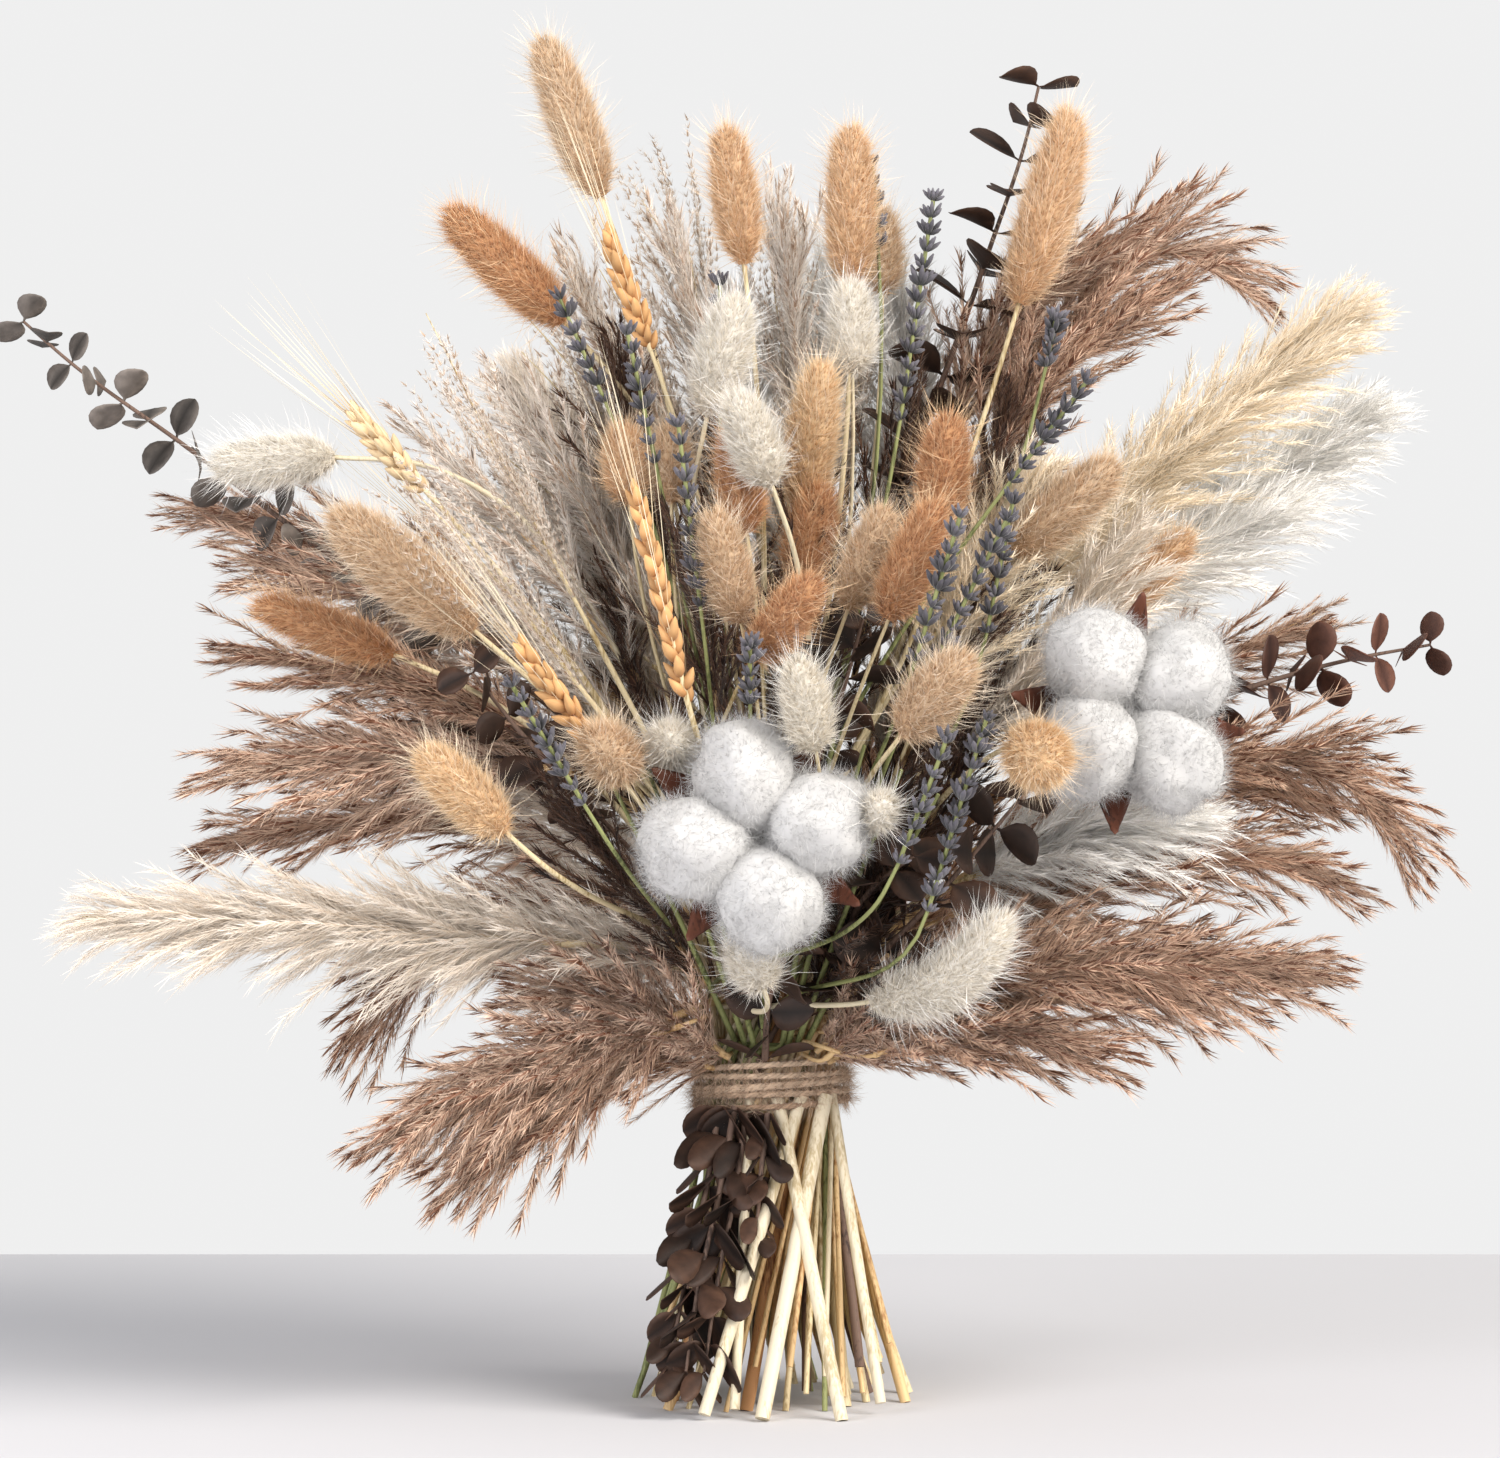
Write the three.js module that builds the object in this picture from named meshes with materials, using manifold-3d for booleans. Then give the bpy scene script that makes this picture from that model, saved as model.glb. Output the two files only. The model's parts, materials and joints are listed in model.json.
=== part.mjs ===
// A hand-tied bunch of dried flowers that stands on its own cut ends: bunny tails, wheat, lavender,
// pampas, brown reed, silver grass, eucalyptus and two cotton bolls, spiralled through one twine tie.
// Millimetres, +Z up, front towards -Y. Each stalk grew as one piece, so each stalk is one mesh.
import * as THREE from "three";
import { mergeVertices } from "three/addons/utils/BufferGeometryUtils.js";
import Module from "manifold-3d";

const wasm = await Module();
wasm.setup();

// Driving dimensions
const HEIGHT = 460; // from the cut ends to the highest head
const SPREAD = 480; // from the left plume's tip to the right one's
const TIE_HEIGHT = 105; // the middle of the twine above the cut ends
const SLOT_PITCH = 5.9; // between neighbouring stems inside the twine
const FOOT_FLARE = 2.2; // how many times wider the cut ends stand than the bundle in the twine
const STEM_SCALE = 1; // thicker or thinner stems, all kinds together
const TWINE_RADIUS = 1.1;
const TWINE_TURNS = 6;
const LOCK_SIZE = [15, 13.6, 15.5]; // half sizes of a cotton lock: outwards, across, forwards
const LEAF_REACH = 0.87; // how far a eucalyptus leaf stands out from its stem, in leaf lengths
const LOCK_OFFSET = 20; // from the middle of the boll to the middle of a lock

// Build constants
const DRAWN = { height: 460, spread: 480, tie: 105 }; // the sizes that the places below are given at
const GAP = 0.4; // least air between two pieces
const SIDES = 6;
const STEM_POINTS = 8; // between the tie and the head
const TWINE_PITCH = 2 * TWINE_RADIUS + 0.15;
const RINGS = [7, 12, 18, 18]; // slots in each ring of the honeycomb, the first with the middle one
const TIE_CLEAR = (TWINE_PITCH * TWINE_TURNS) / 2 + 4; // from the tie's middle to where stems may bend

// How a head swells along its length: share of the length, share of its radius.
const OVAL = [[0, 0.3], [0.12, 0.75], [0.4, 1], [0.72, 0.85], [0.93, 0.45]];
const EAR = [[0, 0.3], [0.1, 0.85], [0.5, 1], [0.85, 0.7]];
const SPIKE = [[0, 0.35], [0.12, 0.9], [0.5, 1], [0.88, 0.7]];
const PLUME = [[0, 0.25], [0.15, 0.75], [0.4, 1], [0.7, 0.85], [0.92, 0.4]];

// Each kind of stalk: its stem's radius, how its head swells, and its heads. A head is the points of
// its middle line from base to tip, as x, y, z from the tie's axis and the floor, and then its radius.
const KINDS = {
  bunny_tail: {
    stem: 1.1,
    swell: OVAL,
    colour: 0xcfa070,
    heads: [
      [[-57, 22, 402], [-77, 24, 455], 9],
      [[-70, 12, 360], [-108, 6, 397], 9.5],
      [[-9, 4, 379], [-15, 0, 424], 8],
      [[27, 14, 372], [27, 17, 425], 9],
      [[80, 30, 367], [98, 38, 432], 10],
      [[-21, -22, 329], [-11, -30, 367], 10],
      [[0, -44, 306], [-12, -54, 335], 9],
      [[10, -18, 297], [17, -24, 346], 9],
      [[-34, 104, 300], [-44, 122, 342], 9.5],
      [[54, 118, 262], [74, 146, 292], 10],
      [[55, -38, 293], [58, -46, 328], 9],
      [[42, -100, 227], [62, -116, 252], 10],
      [[80, -30, 283], [113, -38, 313], 10],
      [[-144, -8, 315], [-185, -12, 312], 9],
      [[-97, -54, 259], [-142, -66, 297], 12],
      [[-124, -33, 250], [-169, -40, 267], 7.5],
      [[-85, -106, 196], [-111, -118, 222], 9],
      [[-46, -86, 214], [-56, -112, 226], 9.5],
      [[-3, -76, 145], [-9, -90, 162], 9],
      [[33, -62, 138], [58, -78, 146], [76, -88, 168], 10],
      [[82, -100, 222], [87, -126, 219], 12],
    ],
  },
  lavender: {
    stem: 0.9,
    swell: SPIKE,
    colour: 0x565869,
    heads: [
      [[6, 124, 250], [4, 152, 304], 5],
      [[43, -2, 327], [54, 2, 400], 5],
      [[78, -50, 307], [102, -58, 339], 5],
      [[50, -86, 245], [75, -96, 295], 5],
      [[-60, -110, 205], [-82, -126, 243], 5],
      [[40, -106, 187], [55, -118, 225], 5],
    ],
  },
  wheat: {
    stem: 1.3,
    swell: EAR,
    colour: 0xd9944a,
    heads: [
      [[-27, -94, 234], [-43, -106, 302], 6],
      [[-92, 96, 262], [-118, 112, 290], 6],
      [[-113, -36, 303], [-135, -42, 327], 5.5],
    ],
  },
  pampas: {
    stem: 2,
    swell: PLUME,
    colour: 0xe6d9c4,
    heads: [
      [[-70, -40, 155], [-150, -52, 163], [-225, -54, 165], 9],
      [[90, 42, 270], [150, 56, 325], [202, 64, 367], 9],
      [[118, 92, 262], [165, 108, 300], [208, 116, 330], 9],
      [[12, 78, 296], [18, 90, 340], [26, 96, 384], 10],
      [[-48, 104, 258], [-66, 128, 300], [-86, 140, 338], 10],
    ],
  },
  brown_reed: {
    stem: 1.8,
    swell: PLUME,
    colour: 0x9c7b68,
    heads: [
      [[77, 58, 317], [112, 64, 372], [142, 70, 386], [166, 72, 368], 7],
      [[88, -10, 188], [150, -12, 214], [190, -12, 208], [215, -12, 180], 8],
      [[56, -48, 143], [115, -58, 150], [173, -64, 150], 7],
      [[-85, 34, 255], [-140, 40, 280], [-193, 44, 297], 7],
      [[-75, -18, 212], [-125, -24, 216], [-178, -26, 213], 7],
      [[-62, 74, 180], [-125, 86, 190], [-190, 92, 182], 7.5],
      [[-36, -40, 130], [-80, -62, 118], [-122, -74, 94], 7],
    ],
  },
  silver_grass: {
    stem: 1.2,
    swell: PLUME,
    colour: 0xb9a898,
    heads: [
      [[-62, -32, 262], [-92, -40, 320], [-113, -42, 362], 5],
      [[-58, -72, 236], [-92, -84, 280], [-122, -90, 312], 5],
      [[-14, 56, 336], [-26, 64, 372], [-44, 68, 402], 5],
    ],
  },
};

// Leafy runs of eucalyptus: the middle line of the part that bears leaves, and a leaf's length.
const EUCALYPTUS = {
  stem: 1.6,
  colour: 0x5b4a44,
  spacing: 0.8, // between leaf pairs, in leaf lengths
  runs: [
    { leaf: 21, at: [[44, 42, 306], [60, 46, 345], [74, 50, 384], [87, 52, 423], [91, 52, 440]] },
    { leaf: 13, at: [[-102, 4, 252], [-152, 12, 285], [-196, 16, 318], [-236, 20, 347], [-251, 22, 360]] },
    { leaf: 21, at: [[122, 18, 224], [158, 24, 236], [195, 30, 246], [223, 34, 251]] },
  ],
};
// One sprig is bound in tip down, so its leaves hang outside the cut ends. Its points are heights and
// how far they are outside the bundle there.
const HANGING = {
  stem: 1.5,
  leaf: 13,
  angle: (-118 * Math.PI) / 180, // round the tie's axis
  cut: 14, // its cut end above the tie's middle
  at: [[88, 6], [62, 11], [34, 13], [9, 12]],
};

// The bolls of cotton: the middle of the locks, which way the boll faces, and how far it is turned.
const BOLLS = [
  { middle: [-5, -98, 194], facing: [0.02, -1, 0.12], turn: 0.2 },
  { middle: [117, -72, 233], facing: [0.25, -1, 0.18], turn: 0.62 },
];
const BOLL_STEM = 2.2;

const vector = (p) => new THREE.Vector3(...p);

// A place given at the drawn sizes, carried to the sizes above.
function place([x, y, z]) {
  const wide = SPREAD / DRAWN.spread;
  const above = z > DRAWN.tie;
  const tall = above ? (HEIGHT - TIE_HEIGHT) / (DRAWN.height - DRAWN.tie) : TIE_HEIGHT / DRAWN.tie;
  return new THREE.Vector3(x * wide, y * wide, TIE_HEIGHT + (z - DRAWN.tie) * tall);
}

// Where the stem through a slot of the tie is at height z. The stems are straight lines of one
// hyperboloid, so they cross the tie together without touching and flare both ways.
const TWIST = Math.sqrt(FOOT_FLARE ** 2 - 1) / TIE_HEIGHT;
function spiral(slot, z) {
  const t = TWIST * (z - TIE_HEIGHT);
  return new THREE.Vector3(slot.x - slot.y * t, slot.y + slot.x * t, z);
}

// The slots of a honeycomb with the tie's axis in one of them, the nearest to the axis first.
function honeycomb(count) {
  const slots = [];
  for (let a = -6; a <= 6; a++) {
    for (let b = -6; b <= 6; b++) {
      slots.push(new THREE.Vector2((a + b / 2) * SLOT_PITCH, ((b * Math.sqrt(3)) / 2) * SLOT_PITCH));
    }
  }
  return slots.sort((p, q) => p.length() - q.length() || p.angle() - q.angle()).slice(0, count);
}

// Every stalk with its head's middle line and radii, and whether its head may be moved aside.
function plannedStalks() {
  const stalks = [];
  for (const [kind, { stem, swell, heads }] of Object.entries(KINDS)) {
    heads.forEach((head, i) => {
      const radius = head.at(-1);
      const curve = new THREE.CatmullRomCurve3(head.slice(0, -1).map(place));
      stalks.push({
        name: `${kind}_${i + 1}`,
        kind,
        stem: stem * STEM_SCALE,
        head: [...swell.map(([t]) => curve.getPointAt(t)), curve.getPointAt(1)],
        headRadii: [...swell.map(([, share]) => share * radius), 0],
        yields: 1,
      });
    });
  }
  EUCALYPTUS.runs.forEach(({ leaf, at }, i) => {
    stalks.push({
      name: `eucalyptus_${i + 1}`,
      stem: EUCALYPTUS.stem * STEM_SCALE,
      head: at.map(place),
      headRadii: at.map(() => EUCALYPTUS.stem * STEM_SCALE),
      yields: 0,
      leaf,
    });
  });
  BOLLS.forEach((boll, i) => {
    const facing = vector(boll.facing).normalize();
    const middle = place(boll.middle);
    const behind = (d) => middle.clone().addScaledVector(facing, -d);
    stalks.push({
      name: `cotton_stem_${i + 1}`,
      stem: BOLL_STEM * STEM_SCALE,
      head: [behind(30), behind(22), behind(19)],
      headRadii: [BOLL_STEM * STEM_SCALE, 5, 3],
      yields: 0,
      boll: { ...boll, facing, middle },
    });
  });
  return stalks;
}

// Gives every stalk a slot: the more it leans, the further out, on the side that the spiral asks for.
function giveSlots(stalks, slots) {
  const lean = (s) => Math.hypot(s.head[0].x, s.head[0].y) / (s.head[0].z - TIE_HEIGHT + 20);
  const side = (s) => Math.atan2(s.head[0].y, s.head[0].x) - Math.PI / 3;
  const byLean = [...stalks].sort((a, b) => lean(a) - lean(b));
  const turn = (a) => Math.abs(Math.atan2(Math.sin(a), Math.cos(a)));
  let first = 0;
  for (const size of RINGS) {
    const group = byLean.slice(first, first + size).sort((a, b) => side(a) - side(b));
    const ring = slots.slice(first, first + group.length).sort((p, q) => p.angle() - q.angle());
    first += group.length;
    let best = { cost: Infinity };
    for (let shift = 0; shift < ring.length; shift++) {
      const at = (i) => ring[(i + shift) % ring.length];
      const cost = group.reduce((sum, s, i) => sum + turn(side(s) - at(i).angle()) ** 2, 0);
      if (cost < best.cost) best = { cost, shift };
    }
    group.forEach((s, i) => (s.slot = ring[(i + best.shift) % ring.length]));
  }
}

// Draws each middle line: straight from the cut end through the tie, then a smooth bend to the head.
function drawLines(stalks) {
  const outermost = Math.max(...stalks.map((s) => s.slot.length()));
  stalks.forEach((s, i) => {
    const outer = s.slot.length() > 0.72 * outermost;
    const short = outer ? (i % 3 === 2 ? 6 + 4 * (i % 5) : 0) : 5 + 5 * (i % 5);
    const cut = spiral(s.slot, short);
    const join = spiral(s.slot, TIE_HEIGHT + TIE_CLEAR);
    const away = join.clone().sub(cut).normalize();
    const towards = s.head[1].clone().sub(s.head[0]).normalize();
    const reach = 0.38 * join.distanceTo(s.head[0]);
    const bend = new THREE.CubicBezierCurve3(
      join,
      join.clone().addScaledVector(away, reach),
      s.head[0].clone().addScaledVector(towards, -reach),
      s.head[0],
    );
    const stem = [];
    for (let k = 1; k <= STEM_POINTS; k++) stem.push(bend.getPointAt(k / (STEM_POINTS + 1)));
    s.line = [cut, join, ...stem, ...s.head];
    const tapered = stem.map((_, k) => s.stem * (1 - (0.25 * k) / STEM_POINTS));
    s.radii = [s.stem, s.stem, ...tapered, ...s.headRadii];
    s.yielding = s.line.map((_, k) => (k < 2 ? 0 : k < 2 + STEM_POINTS ? 1 : s.yields));
    s.reaches = s.radii.map((r, k) => (k < 2 + STEM_POINTS || !s.leaf ? r : LEAF_REACH * s.leaf));
  });
}

// The least distance between two segments, with how far along each it is.
function nearest(p, q, r, s) {
  const d1 = q.clone().sub(p);
  const d2 = s.clone().sub(r);
  const w = p.clone().sub(r);
  const a = d1.dot(d1);
  const e = d2.dot(d2);
  const b = d1.dot(d2);
  const c = d1.dot(w);
  const f = d2.dot(w);
  const across = a * e - b * b;
  const clamp = (x) => Math.min(1, Math.max(0, x));
  let u = across > 1e-9 ? clamp((b * f - c * e) / across) : 0;
  let v = e > 1e-9 ? (b * u + f) / e : 0;
  if (v < 0 || v > 1) {
    v = clamp(v);
    u = a > 1e-9 ? clamp((b * v - c) / a) : 0;
  }
  const apart = p.clone().addScaledVector(d1, u).sub(r.clone().addScaledVector(d2, v));
  return { u, v, apart };
}

// Moves the lines aside until no two pieces are closer than GAP. What doesn't yield stays in place.
function settle(lines, rounds) {
  const start = lines.map((s) => s.line.map((p) => p.clone()));
  const segments = lines.flatMap((s) => s.line.slice(1).map((_, k) => ({ s, k })));
  const thick = ({ s, k }) => Math.max(s.reaches[k], s.reaches[k + 1]);
  for (let round = 0; round < rounds; round++) {
    const boxes = segments.map((g) =>
      new THREE.Box3().setFromPoints([g.s.line[g.k], g.s.line[g.k + 1]]).expandByScalar(thick(g) + GAP),
    );
    let worst = 0;
    segments.forEach((g, i) => {
      for (let j = i + 1; j < segments.length; j++) {
        const h = segments[j];
        if (g.s.name === h.s.name || !boxes[i].intersectsBox(boxes[j])) continue;
        const [p, q, r, t] = [g.s.line[g.k], g.s.line[g.k + 1], h.s.line[h.k], h.s.line[h.k + 1]];
        const { u, v, apart } = nearest(p, q, r, t);
        const mix = (s, k, w) => s.reaches[k] * (1 - w) + s.reaches[k + 1] * w;
        const short = mix(g.s, g.k, u) + mix(h.s, h.k, v) + GAP - apart.length();
        if (short <= 0) continue;
        const ways = [
          [g.s, g.k, 1 - u, 1],
          [g.s, g.k + 1, u, 1],
          [h.s, h.k, 1 - v, -1],
          [h.s, h.k + 1, v, -1],
        ];
        const give = ways.reduce((sum, [s, k, w]) => sum + s.yielding[k] * w * w, 0);
        if (give < 1e-3) continue;
        worst = Math.max(worst, short);
        const push = apart.normalize().multiplyScalar((0.8 * short) / Math.max(give, 0.3));
        for (const [s, k, w, sign] of ways) s.line[k].addScaledVector(push, sign * w * s.yielding[k]);
      }
    });
    if (worst < 0.02) return 0;
    if (round === rounds - 1) return worst;
    if (round > 0.75 * rounds) continue;
    lines.forEach((s, i) => {
      const moved = s.line.map((p, k) => p.clone().sub(start[i][k]));
      for (let k = 1; k < s.line.length - 1; k++) {
        if (!s.yielding[k]) continue;
        const even = moved[k - 1].clone().add(moved[k + 1]).multiplyScalar(0.5);
        s.line[k].copy(start[i][k]).add(moved[k].clone().lerp(even, 0.4));
      }
    });
  }
  return 0;
}

// A closed skin over rings of equal length, each end closed by a point.
function skin(first, rings, last) {
  const count = rings[0].length;
  const points = [first, ...rings.flat(), last];
  const at = (ring, side) => 1 + ring * count + (side % count);
  const faces = [];
  for (let j = 0; j < count; j++) {
    faces.push(0, at(0, j + 1), at(0, j));
    for (let k = 0; k + 1 < rings.length; k++) {
      faces.push(at(k, j), at(k, j + 1), at(k + 1, j + 1));
      faces.push(at(k, j), at(k + 1, j + 1), at(k + 1, j));
    }
    faces.push(points.length - 1, at(rings.length - 1, j), at(rings.length - 1, j + 1));
  }
  const geometry = new THREE.BufferGeometry().setFromPoints(points);
  return geometry.setIndex(faces);
}

// Rings around a line. A section is two half sizes, the first along the side that the line starts with.
function sweep(line, sections, side, count = SIDES) {
  let across = side.clone();
  return line.map((p, k) => {
    const along = line[Math.min(k + 1, line.length - 1)].clone().sub(line[Math.max(k - 1, 0)]).normalize();
    across = across.clone().addScaledVector(along, -across.dot(along)).normalize();
    const up = along.clone().cross(across);
    const [wide, thick] = sections[k];
    return Array.from({ length: count }, (_, j) => {
      const a = (2 * Math.PI * j) / count;
      return p.clone().addScaledVector(across, wide * Math.cos(a)).addScaledVector(up, thick * Math.sin(a));
    });
  });
}

// A stalk's solid. Its cut end is level where it stands on the floor.
function grown(line, radii) {
  const rings = sweep(line.slice(0, -1), radii.map((r) => [r, r]), new THREE.Vector3(1, 0, 0));
  const along = line[1].clone().sub(line[0]).normalize();
  rings[0].forEach((p) => p.addScaledVector(along, (line[0].z - p.z) / along.z));
  return skin(line[0], rings, line.at(-1));
}

// A leaf or bract: a thin blade from a point, along one way and curling towards another.
function blade(from, along, face, { length, width, thick = 0.9, curl = 0.15, stations }) {
  const side = along.clone().cross(face).normalize();
  const shape = stations ?? [[0.02, 0.12], [0.2, 0.75], [0.5, 1], [0.8, 0.7]];
  const curled = (t) => curl * length * t * t;
  const at = (t) => from.clone().addScaledVector(along, length * t).addScaledVector(face, curled(t));
  const line = shape.map(([t]) => at(t));
  const sections = shape.map(([, share]) => [(share * width) / 2, thick / 2]);
  return skin(at(0), sweep(line, sections, side, 4), at(1));
}

function solid(geometry) {
  const merged = mergeVertices(geometry.deleteAttribute("normal").deleteAttribute("uv"), 1e-3);
  const mesh = new wasm.Mesh({
    numProp: 3,
    vertProperties: merged.attributes.position.array,
    triVerts: new Uint32Array(merged.index.array),
  });
  return new wasm.Manifold(mesh);
}

// One body from several that overlap.
function united(geometries) {
  const mesh = wasm.Manifold.union(geometries.map(solid)).getMesh();
  const geometry = new THREE.BufferGeometry();
  geometry.setAttribute("position", new THREE.BufferAttribute(mesh.vertProperties.slice(), 3));
  return geometry.setIndex(new THREE.BufferAttribute(mesh.triVerts.slice(), 1));
}

// Crossing pairs of leaves along a line. Each pair stands square to the one before it.
function leafPairs(line, leaf, { lift = 0.5, outward = null } = {}) {
  const curve = new THREE.CatmullRomCurve3(line);
  const pairs = Math.floor(curve.getLength() / (EUCALYPTUS.spacing * leaf));
  const leaves = [];
  for (let i = 0; i <= pairs; i++) {
    const t = Math.min(0.985, i / pairs);
    const along = curve.getTangentAt(t);
    const level = new THREE.Vector3(0, 0, 1).cross(along).normalize();
    const turned = level.clone().applyAxisAngle(along, (Math.PI / 2) * (i % 2) + 0.4);
    for (const sign of [1, -1]) {
      const aside = outward
        ? outward.clone().addScaledVector(level, sign * (i % 2 ? 0.35 : 1.1)).normalize()
        : turned.clone().multiplyScalar(sign);
      const way = aside.clone().addScaledVector(along, lift).normalize();
      const face = along.clone().addScaledVector(aside, -lift).normalize();
      const length = leaf * (1 - 0.35 * t);
      leaves.push(blade(curve.getPointAt(t), way, face, { length, width: 0.82 * length, curl: -0.12 }));
    }
  }
  return leaves;
}

// The directions out of a boll, one for each lock, in the plane that it faces.
function bollSides({ facing, turn }) {
  const across = new THREE.Vector3(0, 0, 1).cross(facing).normalize();
  return [0, 1, 2, 3].map((i) => across.clone().applyAxisAngle(facing, turn + (i * Math.PI) / 2));
}

function lock(boll, side) {
  const [out, wide, deep] = LOCK_SIZE;
  const geometry = new THREE.SphereGeometry(1, 12, 8);
  const tilt = side.clone().cross(boll.facing);
  const turn = new THREE.Matrix4().makeBasis(
    side.clone().multiplyScalar(out),
    boll.facing.clone().multiplyScalar(-deep),
    tilt.clone().multiplyScalar(-wide),
  );
  turn.setPosition(boll.middle.clone().addScaledVector(side, LOCK_OFFSET));
  geometry.applyMatrix4(turn);
  return mergeVertices(geometry.deleteAttribute("normal").deleteAttribute("uv"), 1e-3);
}

function bracts(boll) {
  const heart = boll.middle.clone().addScaledVector(boll.facing, -20.5);
  const stations = [[0.02, 0.3], [0.3, 1], [0.6, 0.75], [0.85, 0.3]];
  const size = { length: 37, width: 11, thick: 1.2, curl: 0.42, stations };
  return bollSides({ ...boll, turn: boll.turn + Math.PI / 4 }).map((side) =>
    blade(heart, side, boll.facing, size),
  );
}

// What the stalks must keep clear of besides each other: the locks and bracts, and the hanging sprig.
function obstacles(stalks, sprig) {
  const still = (name, line, radius) => ({
    name,
    line,
    reaches: line.map(() => radius),
    yielding: line.map(() => 0),
  });
  const found = [sprig];
  for (const { name, boll } of stalks.filter((s) => s.boll)) {
    for (const side of bollSides(boll)) {
      const middle = boll.middle.clone().addScaledVector(side, LOCK_OFFSET);
      found.push(still(name, [middle, middle.clone().addScaledVector(side, 1)], Math.max(...LOCK_SIZE)));
    }
    for (const side of bollSides({ ...boll, turn: boll.turn + Math.PI / 4 })) {
      const root = boll.middle.clone().addScaledVector(boll.facing, -20);
      const tip = root.clone().addScaledVector(side, 37).addScaledVector(boll.facing, 15.5);
      found.push(still(name, [root, root.clone().lerp(tip, 0.5).addScaledVector(boll.facing, -4), tip], 5));
    }
  }
  return found;
}

function hangingSprig(slot) {
  const out = new THREE.Vector3(Math.cos(HANGING.angle), Math.sin(HANGING.angle), 0);
  const cut = spiral(slot, TIE_HEIGHT + HANGING.cut);
  const below = spiral(slot, TIE_HEIGHT - (TWINE_PITCH * TWINE_TURNS) / 2);
  const hung = HANGING.at.map(([height, outside]) => {
    const bundle = Math.hypot(1, TWIST * (height - TIE_HEIGHT)) * slot.length();
    return out.clone().multiplyScalar(bundle + outside).setZ((height * TIE_HEIGHT) / DRAWN.tie);
  });
  const line = [cut, below, ...hung];
  const radii = line.map((_, k) => HANGING.stem * STEM_SCALE * (1 - 0.08 * k));
  const reaches = radii.map((r, k) => (k < 3 ? r : LEAF_REACH * HANGING.leaf));
  const name = `eucalyptus_${EUCALYPTUS.runs.length + 1}`;
  return { name, line, radii, reaches, yielding: line.map(() => 0), out };
}

function twine(bundle) {
  const turn = 24;
  const count = TWINE_TURNS * turn;
  const radius = bundle + GAP + TWINE_RADIUS;
  const line = [];
  for (let k = 0; k <= count; k++) {
    const a = (2 * Math.PI * k) / turn;
    const z = TIE_HEIGHT + TWINE_PITCH * (k / turn - TWINE_TURNS / 2);
    line.push(new THREE.Vector3(radius * Math.cos(a), radius * Math.sin(a), z));
  }
  const rings = sweep(line, line.map(() => [TWINE_RADIUS, TWINE_RADIUS]), new THREE.Vector3(1, 0, 0), 5);
  return skin(line[0], rings, line.at(-1));
}

const materials = {};
function mesh(name, geometry, kind, colour) {
  materials[kind] ??= new THREE.MeshStandardMaterial({ color: colour, roughness: 0.9, flatShading: true });
  const made = new THREE.Mesh(geometry, materials[kind]);
  made.name = name;
  return made;
}

function stalkMeshes(s) {
  const stem = grown(s.line, s.radii);
  if (s.leaf) {
    const leaves = leafPairs(s.line.slice(2 + STEM_POINTS), s.leaf);
    return [mesh(s.name, united([stem, ...leaves]), "eucalyptus", EUCALYPTUS.colour)];
  }
  if (!s.boll) return [mesh(s.name, stem, s.kind, KINDS[s.kind].colour)];
  const locks = bollSides(s.boll).map((side, i) => {
    const name = `${s.name.replace("stem", "boll")}_lock_${i + 1}`;
    return mesh(name, lock(s.boll, side), "cotton", 0xf4f0e8);
  });
  return [mesh(s.name, united([stem, ...bracts(s.boll)]), "cotton_stem", 0x7a5238), ...locks];
}

function sprigMesh({ name, line, radii, out }) {
  const rings = sweep(line.slice(0, -1), radii.map((r) => [r, r]), new THREE.Vector3(1, 0, 0));
  const stem = skin(line[0], rings, line.at(-1));
  const leaves = leafPairs(line.slice(3), HANGING.leaf, { lift: 0.6, outward: out });
  return mesh(name, united([stem, ...leaves]), "eucalyptus", EUCALYPTUS.colour);
}

// The bunch
const stalks = plannedStalks();
const slots = honeycomb(stalks.length + 1);
const fromSprig = (slot) => Math.abs(slot.angle() - (HANGING.angle + 2 * Math.PI)) - slot.length();
const sprigSlot = slots.reduce((best, slot) => (fromSprig(slot) < fromSprig(best) ? slot : best));
giveSlots(stalks, slots.filter((slot) => slot !== sprigSlot));
drawLines(stalks);
const sprig = hangingSprig(sprigSlot);
const stillClose = settle([...stalks, ...obstacles(stalks, sprig)], 300);
if (stillClose) console.log(`some pieces are ${stillClose.toFixed(2)} mm closer than the gap`);

const bunch = new THREE.Group();
bunch.name = "dried_flower_bunch";
bunch.add(...stalks.flatMap(stalkMeshes), sprigMesh(sprig));
const bundle = 1.01 * slots.at(-1).length() + BOLL_STEM * STEM_SCALE;
bunch.add(mesh("twine_tie", twine(bundle), "twine", 0xa98a5c));

// The origin is under the middle of the whole bunch, on the floor.
const box = new THREE.Box3().setFromObject(bunch, true);
const middle = box.getCenter(new THREE.Vector3());
for (const part of bunch.children) part.geometry.translate(-middle.x, -middle.y, -box.min.z);

export default bunch;
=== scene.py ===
# %% [markdown]
# # A hand-tied bunch of dried flowers
# The bunch holds fluffy bunny tails, pampas, brown reed, silver grass, wheat, lavender, eucalyptus
# and two cotton bolls. One twine tie holds it, and it stands on its spread cut stems. The CAD frame
# fixes where every stalk runs and how thick it is. This script reads those lines back and grows the
# fine things along them: hairs, tufts, grains, flowers and leaves.

# %% Load the frame
import json
import math
import random

import bmesh
import bpy
import numpy as np
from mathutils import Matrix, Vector, noise

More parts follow.
